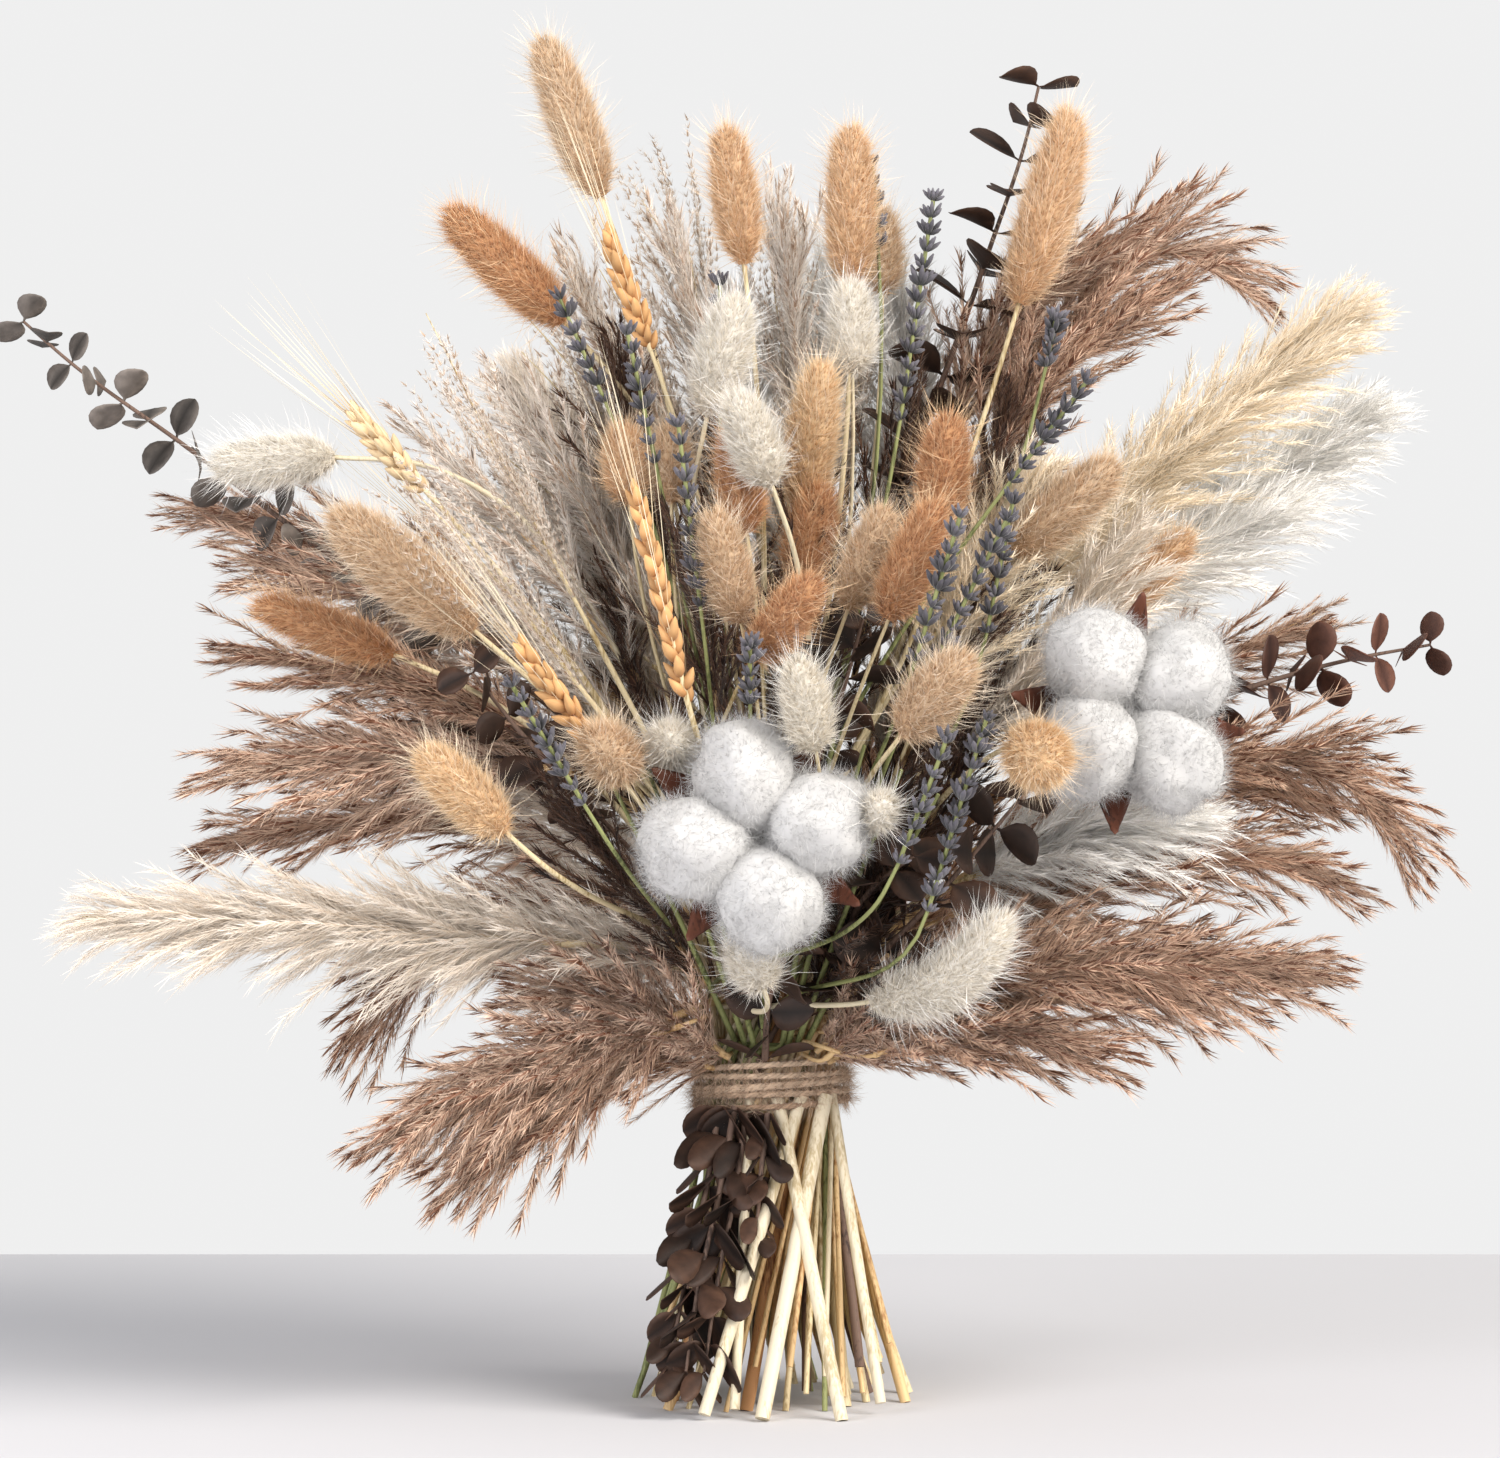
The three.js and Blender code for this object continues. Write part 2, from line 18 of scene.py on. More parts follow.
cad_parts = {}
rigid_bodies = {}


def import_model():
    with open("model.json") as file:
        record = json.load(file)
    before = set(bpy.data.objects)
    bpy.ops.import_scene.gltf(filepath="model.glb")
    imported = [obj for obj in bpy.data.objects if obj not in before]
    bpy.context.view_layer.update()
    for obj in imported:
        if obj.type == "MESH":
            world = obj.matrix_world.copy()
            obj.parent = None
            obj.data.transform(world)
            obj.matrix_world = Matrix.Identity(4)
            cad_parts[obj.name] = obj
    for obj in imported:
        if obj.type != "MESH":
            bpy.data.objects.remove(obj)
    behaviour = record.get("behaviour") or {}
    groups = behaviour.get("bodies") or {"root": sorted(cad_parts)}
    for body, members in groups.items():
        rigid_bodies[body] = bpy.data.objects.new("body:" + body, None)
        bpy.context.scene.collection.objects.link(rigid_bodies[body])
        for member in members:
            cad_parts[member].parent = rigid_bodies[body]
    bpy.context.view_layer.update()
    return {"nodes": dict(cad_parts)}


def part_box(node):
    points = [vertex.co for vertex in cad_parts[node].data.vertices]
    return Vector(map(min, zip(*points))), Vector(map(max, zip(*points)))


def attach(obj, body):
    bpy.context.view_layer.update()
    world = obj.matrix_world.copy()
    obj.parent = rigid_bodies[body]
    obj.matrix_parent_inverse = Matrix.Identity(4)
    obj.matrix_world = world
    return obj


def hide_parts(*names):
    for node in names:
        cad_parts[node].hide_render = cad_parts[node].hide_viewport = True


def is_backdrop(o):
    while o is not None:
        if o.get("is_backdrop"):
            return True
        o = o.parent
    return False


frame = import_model()
MM = 0.001
low, high = (Vector(corner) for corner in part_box("twine_tie"))
TIE = (low + high) / 2
print("the tie is at", [round(x / MM) for x in TIE], "mm, and there are", len(frame["nodes"]), "nodes")

# %% [markdown]
# ## Camera, light and floor
# The bunch is seen from the front and slightly from above, from far enough away that near and far
# heads keep their sizes. The light is a large soft lamp high on the right with a weak one on the left,
# because dried flowers lose their detail in hard light. The floor is a pale shelf that ends a little
# way behind the bunch, with a plain pale space behind it.


# %% Colours, nodes and materials
def linear(code):
    """A colour written as sRGB hex, as the linear numbers that the renderer works in."""
    parts = [int(code[i : i + 2], 16) / 255 for i in (1, 3, 5)]
    return [c / 12.92 if c <= 0.04045 else ((c + 0.055) / 1.055) ** 2.4 for c in parts] + [1.0]


def add(tree, kind, inputs=None, **settings):
    """Adds a node. An input is a value for its socket, or another node's output to link to it."""
    node = tree.nodes.new(kind)
    for name, value in settings.items():
        setattr(node, name, value)
    for socket, value in (inputs or {}).items():
        if isinstance(value, bpy.types.NodeSocket):
            tree.links.new(value, node.inputs[socket])
        else:
            node.inputs[socket].default_value = value
    return node


def maths(tree, operation, *values):
    return add(tree, "ShaderNodeMath", dict(enumerate(values)), operation=operation).outputs[0]


def vector_maths(tree, operation, inputs):
    return add(tree, "ShaderNodeVectorMath", inputs, operation=operation).outputs[0]


def new_material(name, colour, roughness, specular=0.3, sheen=0.0):
    """A material whose shader also holds its main colour plainly, for viewers without node trees."""
    material = bpy.data.materials.new(name)
    material.use_nodes = True
    shader = material.node_tree.nodes["Principled BSDF"]
    shader.inputs["Base Color"].default_value = linear(colour)
    shader.inputs["Roughness"].default_value = roughness
    shader.inputs["Specular IOR Level"].default_value = specular
    shader.inputs["Sheen Weight"].default_value = sheen
    return material, material.node_tree, shader


# %% Camera
DISTANCE = 2.4
CAMERA_RISE = 0.105  # how much higher the camera is than the point it looks at
PICTURE_WIDTH = 0.5  # of the plane through the tie that the picture shows
SENSOR = 36
AIM = Vector((TIE.x - 7 * MM, TIE.y, 224 * MM))
camera_data = bpy.data.cameras.new("camera")
camera_data.sensor_width = SENSOR
camera_data.lens = SENSOR * DISTANCE / PICTURE_WIDTH
camera = bpy.data.objects.new("camera", camera_data)
bpy.context.collection.objects.link(camera)
camera.location = AIM + Vector((0, -DISTANCE, CAMERA_RISE))
camera.rotation_euler = (AIM - camera.location).to_track_quat("-Z", "Y").to_euler()
bpy.context.scene.camera = camera


# %% Lights, space and floor
LIT = Vector((TIE.x, TIE.y, 0.22))  # the point that both lamps face
ROOM_LIGHT, ROOM_SEEN = 0.55, 0.94  # the room's strength as light, and as the pale space in the picture
SHELF = (Vector((-1.3, -1.6, -0.02)), Vector((1.3, TIE.y + 0.41, 0.0)))


def soft_light(name, place, size, watts, colour):
    data = bpy.data.lights.new(name, "AREA")
    data.size = size
    data.energy = watts
    data.color = linear(colour)[:3]
    lamp = bpy.data.objects.new(name, data)
    bpy.context.collection.objects.link(lamp)
    lamp.location = place
    lamp.rotation_euler = (LIT - lamp.location).to_track_quat("-Z", "Y").to_euler()


def pale_room():
    """An even pale space. The camera sees it brighter than it lights the bunch."""
    world = bpy.data.worlds.new("pale_room")
    world.use_nodes = True
    tree = world.node_tree
    seen = add(tree, "ShaderNodeLightPath").outputs["Is Camera Ray"]
    strength = add(tree, "ShaderNodeMapRange", {"Value": seen, "To Min": ROOM_LIGHT, "To Max": ROOM_SEEN})
    background = tree.nodes["Background"]
    background.inputs["Color"].default_value = linear("#f6f6f6")
    tree.links.new(strength.outputs["Result"], background.inputs["Strength"])
    bpy.context.scene.world = world


def floor():
    low, high = SHELF
    corners = [(x, y, z) for x in (low.x, high.x) for y in (low.y, high.y) for z in (low.z, high.z)]
    faces = [(0, 1, 3, 2), (4, 6, 7, 5), (0, 4, 5, 1), (2, 3, 7, 6), (0, 2, 6, 4), (1, 5, 7, 3)]
    mesh = bpy.data.meshes.new("shelf")
    mesh.from_pydata(corners, [], faces)
    mesh.materials.append(new_material("white_painted_shelf_matt", "#d1d1d5", 0.8, 0.1)[0])
    shelf = bpy.data.objects.new("shelf", mesh)
    bpy.context.collection.objects.link(shelf)
    shelf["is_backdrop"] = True


soft_light("window", Vector((5.8, -4.6, 4.6)), 6.0, 1170, "#fffaf3")
soft_light("fill", Vector((-1.2, -1.4, 0.7)), 1.2, 26, "#f8f8fc")
pale_room()
floor()
bpy.context.scene.view_settings.view_transform = "Standard"
print("camera", round(DISTANCE, 2), "m away with a lens of", round(camera_data.lens), "mm")

# %% [markdown]
# ## Middle lines
# The stalks of the CAD model are tubes of six-sided rings. Walking the mesh outward from the point in
# the middle of the cut end meets one ring after another, so each step's mean place is a point of the
# middle line and its mean distance is the radius there. The lines are then rounded with a cubic
# through the points, because fine parts show every corner.

# %% Read the CAD stalks
RING = 6
STEM_RINGS = 10  # rings from the cut end up to the head
CUT_HEIGHT = 3 * MM  # the cut end's points are no higher than this above the lowest one


def mean(points):
    return sum(points, Vector()) / len(points)


def walk(node):
    """A stalk's middle line and radii in metres, ring by ring for as long as the rings are whole."""
    body = bmesh.new()
    body.from_mesh(frame["nodes"][node].data)
    bmesh.ops.remove_doubles(body, verts=body.verts, dist=1e-6)
    body.verts.index_update()
    lowest = min(v.co.z for v in body.verts)
    close = [v for v in body.verts if v.co.z < lowest + CUT_HEIGHT]
    ring = [min(close, key=lambda v: (v.co - mean([e.other_vert(v).co for e in v.link_edges])).length)]
    line, radii, seen = [], [], set(ring)
    while True:
        found = {e.other_vert(v) for v in ring for e in v.link_edges} - seen
        ring = sorted(found, key=lambda v: v.index)  # a fixed order, so that every run sums alike
        if len(ring) not in (1, RING):
            break
        seen |= found
        middle = mean([v.co for v in ring])
        line.append(middle)
        radii.append(sum((v.co - middle).length for v in ring) / len(ring))
        if len(ring) == 1:
            break
    body.free()
    return line, radii


def rounded(line, radii, step):
    """A line through the same points with a point about every step, and the radii along it."""
    points = np.array([list(p) for p in line])
    radii = np.array(radii)
    gaps = np.linalg.norm(np.diff(points, axis=0), axis=1)
    at = np.concatenate([[0], np.cumsum(np.maximum(gaps, 1e-6))])
    both = np.column_stack([points, radii])
    slopes = np.gradient(both, at, axis=0)
    wanted = np.linspace(0, at[-1], max(3, int(at[-1] / step) + 1))
    k = np.clip(np.searchsorted(at, wanted, "right") - 1, 0, len(at) - 2)
    h = (at[k + 1] - at[k])[:, None]
    t = ((wanted - at[k]) / h[:, 0])[:, None]
    curve = (
        (2 * t**3 - 3 * t**2 + 1) * both[k]
        + (t**3 - 2 * t**2 + t) * h * slopes[k]
        + (-2 * t**3 + 3 * t**2) * both[k + 1]
        + (t**3 - t**2) * h * slopes[k + 1]
    )
    straight = np.interp(wanted, at, radii)
    kept = np.clip(curve[:, 3], 0.5 * straight, 1.2 * straight + 1e-5)
    return [Vector(p) for p in curve[:, :3]], list(kept)


def taper(radius, loss, line):
    """Radii along a line, from radius in millimetres at its start, that lose a share by its end."""
    return [radius * MM * (1 - loss * k / len(line)) for k in range(len(line))]


def length_of(line):
    return sum((b - a).length for a, b in zip(line, line[1:]))


line, radii = walk("bunny_tail_1")
print("bunny_tail_1 has", len(line), "rings and a head", round(max(radii) * 2 / MM), "mm thick")

# %% [markdown]
# ## Strands
# Hairs, awns and silky threads are all thin flat ribbons that taper to a point. A ribbon of two or
# three faces is enough when there are thousands of them. Each point of a ribbon stores how far along
# it is, from 0 at the root to 1 at the tip, and the materials turn that into colour.


# %% Make a mesh of strands
BOW = 0.12  # how far a branchlet's tip bends off its straight line, as a share of its length


def store(mesh, name, values, kind="FLOAT", field="value"):
    """Writes a value for every point of a mesh, under a name that the materials read."""
    mesh.attributes.new(name, kind, "POINT").data.foreach_set(field, values)


def part_mesh(name, points, faces, along):
    mesh = bpy.data.meshes.new(name)
    mesh.from_pydata([tuple(p) for p in points], [], faces)
    store(mesh, "along", along)
    top = max(p[2] for p in points)
    store(mesh, "reach", [max(0.0, p[2] / top) for p in points])
    return bpy.data.objects.new(name, mesh)


def strand_mesh(name, strands):
    """A mesh of tapering ribbons. A strand is its points, root width, flat side and tone at both ends."""
    points, faces, along = [], [], []
    for line, width, side, *tones in strands:
        low, high = tones or (0.0, 1.0)
        first = len(points)
        for k, p in enumerate(line[:-1]):
            share = k / (len(line) - 1)
            half = side.normalized() * width * (1 - 0.65 * share) / 2
            points += [p - half, p + half]
            along += [low + (high - low) * share] * 2
        points.append(line[-1])
        along.append(high)
        for k in range(len(line) - 2):
            a = first + 2 * k
            faces.append((a, a + 1, a + 3, a + 2))
        last = first + 2 * len(line) - 4
        faces.append((last, last + 1, last + 2))
    return part_mesh(name, points, faces, along)


def bent(start, way, bend, length, count=3):
    """Points of a strand that leaves start along way and turns towards bend. Two points are straight."""
    shares = [k / (count - 1) for k in range(count)]
    return [start + length * (s * way.normalized() + 0.5 * s * s * bend) for s in shares]


def hair_tuft(name, hairs, length, width, fan, seed, count=2):
    """A few hairs from one root, growing along +Z and fanning out."""
    rng = random.Random(seed)
    strands = []
    for _ in range(hairs):
        way = Vector((rng.uniform(-fan, fan), rng.uniform(-fan, fan), 1))
        bend = Vector((rng.uniform(-fan, fan), rng.uniform(-fan, fan), 0))
        side = Vector((rng.uniform(-1, 1), rng.uniform(-1, 1), 0.1))
        strands.append((bent(Vector(), way, bend, length * rng.uniform(0.6, 1.1), count), width, side))
    return strand_mesh(name, strands)


def feather(name, length, threads, thread, width, fan, seed, bracts=(0, 0.0, 0.0), knots=0):
    """A branchlet along +Z: a thin axis with silky threads on every side. Bracts are dark narrow scales
    among the threads, given as their number, length and width. Knots gather both at as many places."""
    rng = random.Random(seed)
    scales, scale_length, scale_width = bracts
    axis = bent(Vector(), Vector((0, 0, 1)), Vector((BOW, 0, 0)), length, 4)
    strands = [(axis, width * 1.6, Vector((1, 0.4, 0)), 0.1, 0.3)]
    kinds = [True] * scales + [False] * threads
    rng.shuffle(kinds)
    for i, scale in enumerate(kinds):
        share = (i + rng.random()) / len(kinds)
        if knots:
            share = round(share * knots) / knots
        start = Vector((BOW / 2 * share * share * length, 0, share * length))
        turn = rng.uniform(0, 2 * math.pi)
        out = Vector((math.cos(turn), math.sin(turn), 0))
        side = Vector((-math.sin(turn), math.cos(turn), rng.uniform(-0.5, 0.5)))
        if scale:
            way = out * rng.uniform(0.25, 0.6) + Vector((0, 0, 1))
            strands.append((bent(start, way, -out * 0.2, scale_length), scale_width, side, 0.0, 0.12))
        else:
            way = out * fan * rng.uniform(0.6, 1.2) + Vector((0, 0, 1))
            reach = thread * rng.uniform(0.6, 1.15) * (1 - 0.35 * share)
            strands.append((bent(start, way, -out * 0.35, reach, 2), width, side, 0.3, 1.0))
    return strand_mesh(name, strands)


# %% [markdown]
# ## Materials
# Two finishes cover most of a dried bunch. Straw is a hollow woody tube: a dull waxy skin with fine
# lengthwise streaks. Plant hair is a thin translucent fibre that is darker at the root, where little
# light gets in, and pale at the tip. Hair has no gloss of its own to speak of, so it gets a high
# roughness with a little sheen. The hairs store their own place along the strand and a random shade,
# and those two numbers drive the colour.


# %% Finishes of fibre and straw
def ramp(tree, factor, first, last, start=0.0, end=1.0):
    """A colour that runs from the first to the last while the factor runs from start to end."""
    node = add(tree, "ShaderNodeValToRGB", {"Fac": factor})
    for element, colour, place in zip(node.color_ramp.elements, (first, last), (start, end)):
        element.color = linear(colour)
        element.position = place
    return node.outputs["Color"]


def stored_number(tree, name):
    return add(tree, "ShaderNodeAttribute", attribute_name=name).outputs["Fac"]


def shaded(tree, shader, colour, darkest, lightest):
    """Makes each strand or leaf lighter or darker by the random shade that it holds."""
    shade = {"Value": stored_number(tree, "shade"), "To Min": darkest, "To Max": lightest}
    light = add(tree, "ShaderNodeMapRange", shade).outputs["Result"]
    tint = vector_maths(tree, "SCALE", {0: colour, "Scale": light})
    tree.links.new(tint, shader.inputs["Base Color"])


def speckle(tree, place, scale, detail):
    return add(tree, "ShaderNodeTexNoise", {"Vector": place, "Scale": scale, "Detail": detail}).outputs["Fac"]


def relief(tree, shader, height, strength, depth):
    """Unevenness of the surface that is too fine to model, depth in metres."""
    bump = add(tree, "ShaderNodeBump", {"Height": height, "Strength": strength, "Distance": depth})
    tree.links.new(bump.outputs["Normal"], shader.inputs["Normal"])


def fibre(name, root, tip, spread=0.3, roughness=0.85, sheen=0.25, turn=0.45):
    """Plant hair: root colour to tip colour along the strand, each strand a little lighter or darker."""
    material, tree, shader = new_material(name, tip, roughness, 0.2, sheen)
    shaded(tree, shader, ramp(tree, stored_number(tree, "along"), root, tip, 0.0, turn), 1 - spread, 1.08)
    return material


def straw(name, dark, light, roughness=0.5, streak=1200):
    """A dried stem: fine lengthwise streaks, at about a millimetre, in colour and relief."""
    material, tree, shader = new_material(name, light, roughness, 0.35)
    place = add(tree, "ShaderNodeTexCoord").outputs["Object"]
    long_way = add(tree, "ShaderNodeMapping", {"Vector": place, "Scale": (1, 1, 0.06)}).outputs["Vector"]
    streaks = speckle(tree, long_way, streak, 2)
    total = maths(tree, "ADD", streaks, speckle(tree, place, 45, 1))
    tree.links.new(ramp(tree, total, dark, light, 0.75), shader.inputs["Base Color"])
    relief(tree, shader, streaks, 0.3, 0.2 * MM)
    return material


# %% [markdown]
# ## Geometry Nodes: three small machines
# Nearly everything on a dried stalk is one small shape repeated along a line or over a surface. So
# three node trees do the work. The first sweeps a round section along a line and makes stems and the
# cores of heads. The second sets hairs over a core, leaning from the surface towards the tip. The
# third sets parts round a line, turning by a fixed angle from one to the next as plants do, and lets
# them droop under their weight.


# %% Start and end a tree
def new_tree(name, inputs):
    """A Geometry Nodes tree with a geometry in and out, and these named inputs. Gives tree and inputs."""
    tree = bpy.data.node_groups.new(name, "GeometryNodeTree")
    tree.interface.new_socket("Geometry", in_out="INPUT", socket_type="NodeSocketGeometry")
    tree.interface.new_socket("Geometry", in_out="OUTPUT", socket_type="NodeSocketGeometry")
    for title, kind in inputs.items():
        tree.interface.new_socket(title, in_out="INPUT", socket_type="NodeSocket" + kind)
    return tree, tree.nodes.new("NodeGroupInput").outputs


def close_tree(tree, geometry, material):
    """Ends a tree: instances become real, and the smooth mesh wears its material."""
    real = add(tree, "GeometryNodeRealizeInstances", {"Geometry": geometry})
    smooth = add(tree, "GeometryNodeSetShadeSmooth", {"Geometry": real.outputs[0]})
    dressed = add(tree, "GeometryNodeSetMaterial", {"Geometry": smooth.outputs[0], "Material": material})
    tree.links.new(dressed.outputs[0], tree.nodes.new("NodeGroupOutput").inputs[0])
    return tree


def stored(tree, geometry, name, value, kind="FLOAT", domain="POINT"):
    inputs = {"Geometry": geometry, "Name": name, "Value": value}
    return add(tree, "GeometryNodeStoreNamedAttribute", inputs, data_type=kind, domain=domain).outputs[0]


def recalled(tree, name, kind="FLOAT"):
    return add(tree, "GeometryNodeInputNamedAttribute", {"Name": name}, data_type=kind).outputs[0]


def chance(tree, low, high, seed):
    inputs = {2: low, 3: high, "Seed": seed}
    return add(tree, "FunctionNodeRandomValue", inputs, data_type="FLOAT").outputs[1]


def turned(tree, rotation, axis, angle):
    """A rotation turned further, by an angle about one of its own axes."""
    turn = add(tree, "FunctionNodeAxisAngleToRotation", {"Axis": axis, "Angle": angle})
    inputs = {0: rotation, 1: turn.outputs[0]}
    return add(tree, "FunctionNodeRotateRotation", inputs, rotation_space="LOCAL").outputs[0]


def planted(tree, part, spots, rotation, scale, seed):
    """The part at every spot, each with a random shade of its own."""
    shape = add(tree, "GeometryNodeObjectInfo", {"Object": part}).outputs["Geometry"]
    inputs = {"Points": spots, "Instance": shape, "Rotation": rotation, "Scale": scale}
    parts = add(tree, "GeometryNodeInstanceOnPoints", inputs).outputs[0]
    return stored(tree, parts, "shade", chance(tree, 0.0, 1.0, seed), domain="INSTANCE")


def run(tree, source, **values):
    """The tree's result on an object as a plain mesh. The source object is used up."""
    bpy.context.collection.objects.link(source)
    modifier = source.modifiers.new("build", "NODES")
    modifier.node_group = tree
    for title, value in values.items():
        modifier[tree.interface.items_tree[title].identifier] = value
    source.update_tag()
    graph = bpy.context.evaluated_depsgraph_get()
    mesh = bpy.data.meshes.new_from_object(source.evaluated_get(graph), depsgraph=graph)
    bpy.data.objects.remove(source)
    return mesh


def line_object(line, radii):
    data = bpy.data.curves.new("line", "CURVE")
    data.dimensions = "3D"
    spline = data.splines.new("POLY")
    spline.points.add(len(line) - 1)
    for point, place, radius in zip(spline.points, line, radii):
        point.co = (*place, 1)
        point.radius = radius
    return bpy.data.objects.new("line", data)


# %% The sweep: stems and cores
def sweep_tree():
    """A tube along a line. It stores how far along it is, and which way the line runs."""
    tree, given = new_tree("sweep", {"Sides": "Int", "Shade": "Float", "Material": "Material"})
    share = tree.nodes.new("GeometryNodeSplineParameter").outputs["Factor"]
    tangent = tree.nodes.new("GeometryNodeInputTangent").outputs[0]
    line = stored(tree, given["Geometry"], "along", share)
    line = stored(tree, line, "flow", tangent, "FLOAT_VECTOR")
    ring = add(tree, "GeometryNodeCurvePrimitiveCircle", {"Resolution": given["Sides"], "Radius": 1.0})
    radius = tree.nodes.new("GeometryNodeInputRadius").outputs[0]
    inputs = {0: line, 1: ring.outputs["Curve"], "Scale": radius, "Fill Caps": True}
    tube = add(tree, "GeometryNodeCurveToMesh", inputs).outputs[0]
    return close_tree(tree, stored(tree, tube, "shade", given["Shade"]), given["Material"])


SWEEP = sweep_tree()


def sweep(line, radii, material, sides=8, shade=0.6):
    return run(SWEEP, line_object(line, radii), Sides=sides, Shade=shade, Material=material)


# %% The fur: hairs over a core
def fur_tree():
    """Hairs stand between the surface's normal and the flow that the core stores, by the lean."""
    names = {"Hair": "Object", "Density": "Float", "Lean": "Float", "Mess": "Float", "Size": "Float"}
    tree, given = new_tree("fur", {**names, "Seed": "Int", "Material": "Material"})
    inputs = {"Mesh": given["Geometry"], "Density": given["Density"], "Seed": given["Seed"]}
    spots = add(tree, "GeometryNodeDistributePointsOnFaces", inputs).outputs
    inputs = {0: given["Lean"], 4: spots["Normal"], 5: recalled(tree, "flow", "FLOAT_VECTOR")}
    away = add(tree, "ShaderNodeMix", inputs, data_type="VECTOR").outputs[1]
    inputs = {0: (-1.0, -1.0, -1.0), 1: (1.0, 1.0, 1.0), "Seed": given["Seed"]}
    stray = add(tree, "FunctionNodeRandomValue", inputs, data_type="FLOAT_VECTOR").outputs[0]
    stray = vector_maths(tree, "SCALE", {0: stray, "Scale": given["Mess"]})
    way = vector_maths(tree, "ADD", {0: away, 1: stray})
    aimed = add(tree, "FunctionNodeAlignRotationToVector", {"Vector": way}, axis="Z").outputs[0]
    spun = turned(tree, aimed, (0, 0, 1), chance(tree, 0.0, 2 * math.pi, 7))
    scale = maths(tree, "MULTIPLY", chance(tree, 0.7, 1.25, 3), given["Size"])
    hairs = planted(tree, given["Hair"], spots["Points"], spun, scale, 5)
    return close_tree(tree, hairs, given["Material"])


FUR = fur_tree()


def fur(core, hair, material, density, lean, mess, seed):
    """Hairs over a core mesh, density in hairs per square millimetre."""
    source = bpy.data.objects.new("core", core.copy())
    values = {"Hair": hair, "Density": density / MM**2, "Lean": lean, "Mess": mess, "Size": 1.0}
    return run(FUR, source, Seed=seed, Material=material, **values)


# %% The spray: parts round a line
SWELL = ((0, 0.0), (0.18, 0.8), (0.4, 1.0), (0.75, 0.8), (1, 0.0))  # size of the parts along the line
WAVE_SCALE = 45.0  # the wind's swirls are about 20 mm across


def spray_tree():
    """Parts set round a line. Each grows along its own +Z, tilted away from the line by an angle."""
    kinds = {"Part": "Object", "Count": "Int", "Turn": "Float", "Angle": "Float", "Tip Angle": "Float"}
    shape = {"Size": "Float", "Base Size": "Float", "Tip Size": "Float", "Mess": "Float"}
    bend = {"Droop": "Float", "Wave": "Float", "Seed": "Int", "Material": "Material"}
    tree, given = new_tree("spray", {**kinds, **shape, **bend})
    inputs = {"Curve": given["Geometry"], "Count": given["Count"]}
    spots = add(tree, "GeometryNodeCurveToPoints", inputs).outputs
    index = tree.nodes.new("GeometryNodeInputIndex").outputs[0]
    share = maths(tree, "DIVIDE", index, given["Count"])

    def messy(value, most, seed):
        """The value, off by a random amount of up to most, times the mess."""
        amount = chance(tree, -most, most, maths(tree, "ADD", given["Seed"], float(seed)))
        return maths(tree, "ADD", value, maths(tree, "MULTIPLY", given["Mess"], amount))

    def between(first, last):
        inputs = {"Value": share, "To Min": given[first], "To Max": given[last]}
        return add(tree, "ShaderNodeMapRange", inputs).outputs[0]

    around = messy(maths(tree, "MULTIPLY", index, given["Turn"]), 1.5, 11)
    rotation = turned(tree, spots["Rotation"], (0, 0, 1), around)
    rotation = turned(tree, rotation, (1, 0, 0), messy(between("Angle", "Tip Angle"), 0.5, 12))
    swell = add(tree, "ShaderNodeFloatCurve", {"Value": share})
    for x, y in SWELL[1:-1]:
        swell.mapping.curves[0].points.new(x, y)
    swell.mapping.curves[0].points[0].location = SWELL[0]
    swell.mapping.curves[0].points[-1].location = SWELL[-1]
    swell.mapping.update()
    ends = between("Base Size", "Tip Size")
    full = maths(tree, "MULTIPLY", swell.outputs[0], maths(tree, "SUBTRACT", 1.0, ends))
    scale = maths(tree, "MULTIPLY", maths(tree, "ADD", ends, full), messy(1.0, 0.5, 13))
    scale = maths(tree, "MULTIPLY", scale, given["Size"])
    seed = maths(tree, "ADD", given["Seed"], 14.0)
    parts = planted(tree, given["Part"], spots["Points"], rotation, scale, seed)
    real = add(tree, "GeometryNodeRealizeInstances", {"Geometry": parts}).outputs[0]
    reach = recalled(tree, "reach")
    fall = maths(tree, "MULTIPLY", given["Droop"], -1.0)
    fall = maths(tree, "MULTIPLY", maths(tree, "POWER", reach, 2.0), fall)
    down = add(tree, "ShaderNodeCombineXYZ", {"Z": fall}).outputs[0]
    place = tree.nodes.new("GeometryNodeInputPosition").outputs[0]
    swirl = add(tree, "ShaderNodeTexNoise", {"Vector": place, "Scale": WAVE_SCALE, "Detail": 1.0})
    centred = vector_maths(tree, "SUBTRACT", {0: swirl.outputs["Color"], 1: (0.5, 0.5, 0.5)})
    wave = maths(tree, "MULTIPLY", reach, given["Wave"])
    blown = vector_maths(tree, "SCALE", {0: centred, "Scale": wave})
    inputs = {"Geometry": real, "Offset": vector_maths(tree, "ADD", {0: down, 1: blown})}
    moved = add(tree, "GeometryNodeSetPosition", inputs).outputs[0]
    return close_tree(tree, moved, given["Material"])


SPRAY = spray_tree()
GOLDEN_ANGLE = 137.5  # by which most plants turn from one leaf or branch to the next


def spray(line, part, material, count, angle, size=1.0, **options):
    """Parts round a line. Angles are in degrees, and droop and wave are in millimetres at the tips."""
    look = {"turn": GOLDEN_ANGLE, "tip_angle": angle, "droop": 0.0, "wave": 0.0, **options}
    values = {
        "Turn": math.radians(look["turn"]),
        "Angle": math.radians(angle),
        "Tip Angle": math.radians(look["tip_angle"]),
        "Size": size,
        "Base Size": look["base_size"],
        "Tip Size": look["tip_size"],
        "Mess": look["mess"],
        "Droop": look["droop"] * MM,
        "Wave": look["wave"] * MM,
        "Seed": look["seed"],
    }
    source = line_object(line, [1.0] * len(line))
    return run(SPRAY, source, Part=part, Count=count, Material=material, **values)


